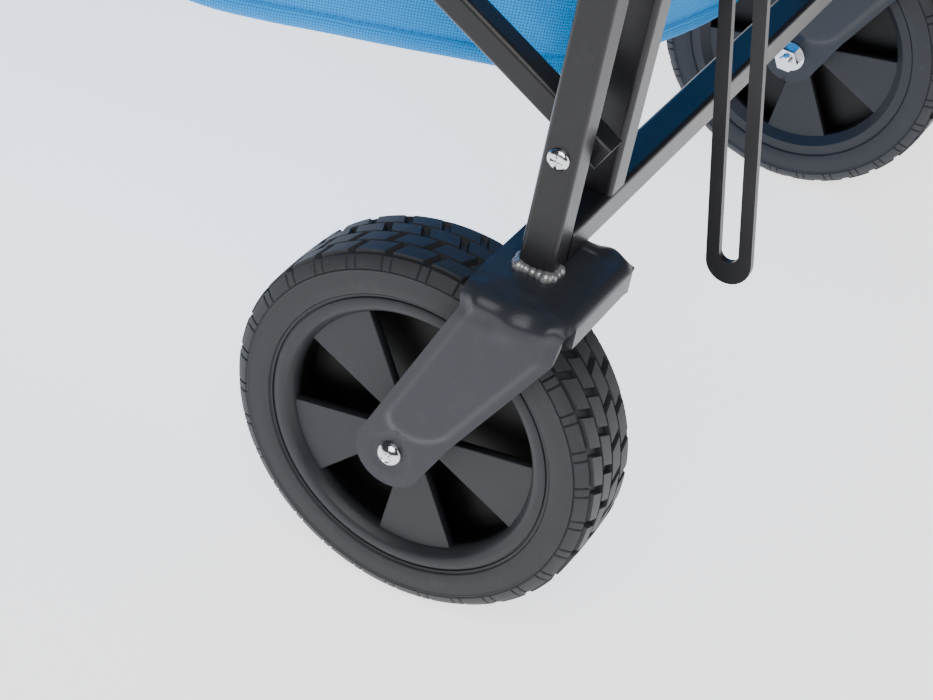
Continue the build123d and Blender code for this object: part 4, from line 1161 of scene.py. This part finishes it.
# ---------------------------------------------------------------- stage
class CART_OT_stage(bpy.types.Operator):
    """Lay the floor, set the soft studio light and place the camera."""
    bl_idname = "cart.stage"
    bl_label = "Stage"

    def execute(self, context):
        stage = context.scene.cart_stage
        clear()
        bpy.ops.mesh.primitive_plane_add(size=14.0, location=(0, 0, -0.5 * MM))
        floor = start("studio_floor")
        bpy.ops.mesh.subdivide(number_cuts=3)
        bpy.ops.object.mode_set(mode="OBJECT")
        made, tree, shader = material("studio_floor_paper")
        place = node(tree, "TexCoord").outputs["Object"]
        slow = node(tree, "TexNoise", {"Vector": place, "Scale": 1.5, "Detail": 2.0}).outputs["Fac"]
        tint = blend_colour(tree, slow, (*stage.floor, 1), (*[value * 0.985 for value in stage.floor], 1))
        tree.links.new(tint, shader.inputs["Base Color"])
        shader.inputs["Roughness"].default_value = 0.9
        shader.inputs["Emission Color"].default_value = (1, 1, 1, 1)
        shader.inputs["Emission Strength"].default_value = 1.7
        floor.data.materials.append(made)
        for name, spot, aim, power, size in (
                ("key_light", (0.75, -2.1, 2.3), (0.1, 0.0, 0.25), stage.key, 2.2),
                ("side_light", (2.6, 0.2, 0.9), (0.2, 0.0, 0.3), stage.fill, 1.8),
                ("back_light", (-1.6, 1.6, 2.6), (0.0, 0.0, 0.2), stage.fill, 2.0)):
            clear()
            bpy.ops.object.light_add(type="AREA", location=spot)
            light = context.view_layer.objects.active
            light.name = name
            light.data.energy = power
            light.data.size = size
            light.rotation_euler = (Vector(aim) - Vector(spot)).to_track_quat("-Z", "Y").to_euler()
        world = bpy.data.worlds.new("studio_room")
        world.use_nodes = True
        sky = world.node_tree.nodes["Background"]
        sky.inputs["Color"].default_value = (*stage.sky, 1)
        sky.inputs["Strength"].default_value = 1.0
        context.scene.world = world
        clear()
        bpy.ops.object.camera_add(location=stage.eye)
        camera = context.view_layer.objects.active
        camera.name = "studio_camera"
        right = Vector((0.86197, 0.47766, 0.16988))
        up = Vector((-0.41190, 0.46447, 0.78397))
        forward = Vector((-0.29556, 0.74573, -0.59710))
        turn = Matrix((right, up, -forward)).transposed()
        camera.matrix_world = Matrix.Translation(Vector(stage.eye)) @ turn.to_4x4()
        camera.data.sensor_width = 36.0
        camera.data.lens = stage.lens
        camera.data.clip_start = 0.02
        context.scene.camera = camera
        return {"FINISHED"}


class CART_PT_panel(bpy.types.Panel):
    """Lists the steps and their sizes."""
    bl_label = "Beach Cart"
    bl_idname = "CART_PT_panel"
    bl_space_type = "VIEW_3D"
    bl_region_type = "UI"
    bl_category = "Beach Cart"

    def draw(self, context):
        layout = self.layout
        for step in STEPS:
            layout.operator(step.bl_idname)
        for name, kind in SETTINGS.items():
            box = layout.box()
            for field in kind.__annotations__:
                box.prop(getattr(context.scene, name), field)


SETTINGS = {"cart_finish": CartFinishSettings, "cart_tread": CartTreadSettings,
    "cart_cloth": CartClothSettings, "cart_stage": CartStageSettings}
STEPS = (CART_OT_finishes, CART_OT_wheels, CART_OT_forks, CART_OT_fasteners, CART_OT_cloth, CART_OT_stage)
CLASSES = (*SETTINGS.values(), *STEPS, CART_PT_panel)


def register():
    """Register the classes and hang the settings on the scene."""
    for kind in CLASSES:
        bpy.utils.register_class(kind)
    for name, kind in SETTINGS.items():
        setattr(bpy.types.Scene, name, bpy.props.PointerProperty(type=kind))


def unregister():
    """Undo register."""
    for name in SETTINGS:
        delattr(bpy.types.Scene, name)
    for kind in reversed(CLASSES):
        bpy.utils.unregister_class(kind)


def main():
    """Build everything in order."""
    register()
    for step in STEPS:
        group_name, operator = step.bl_idname.split(".")
        getattr(getattr(bpy.ops, group_name), operator)()


if __name__ == "__main__":
    main()
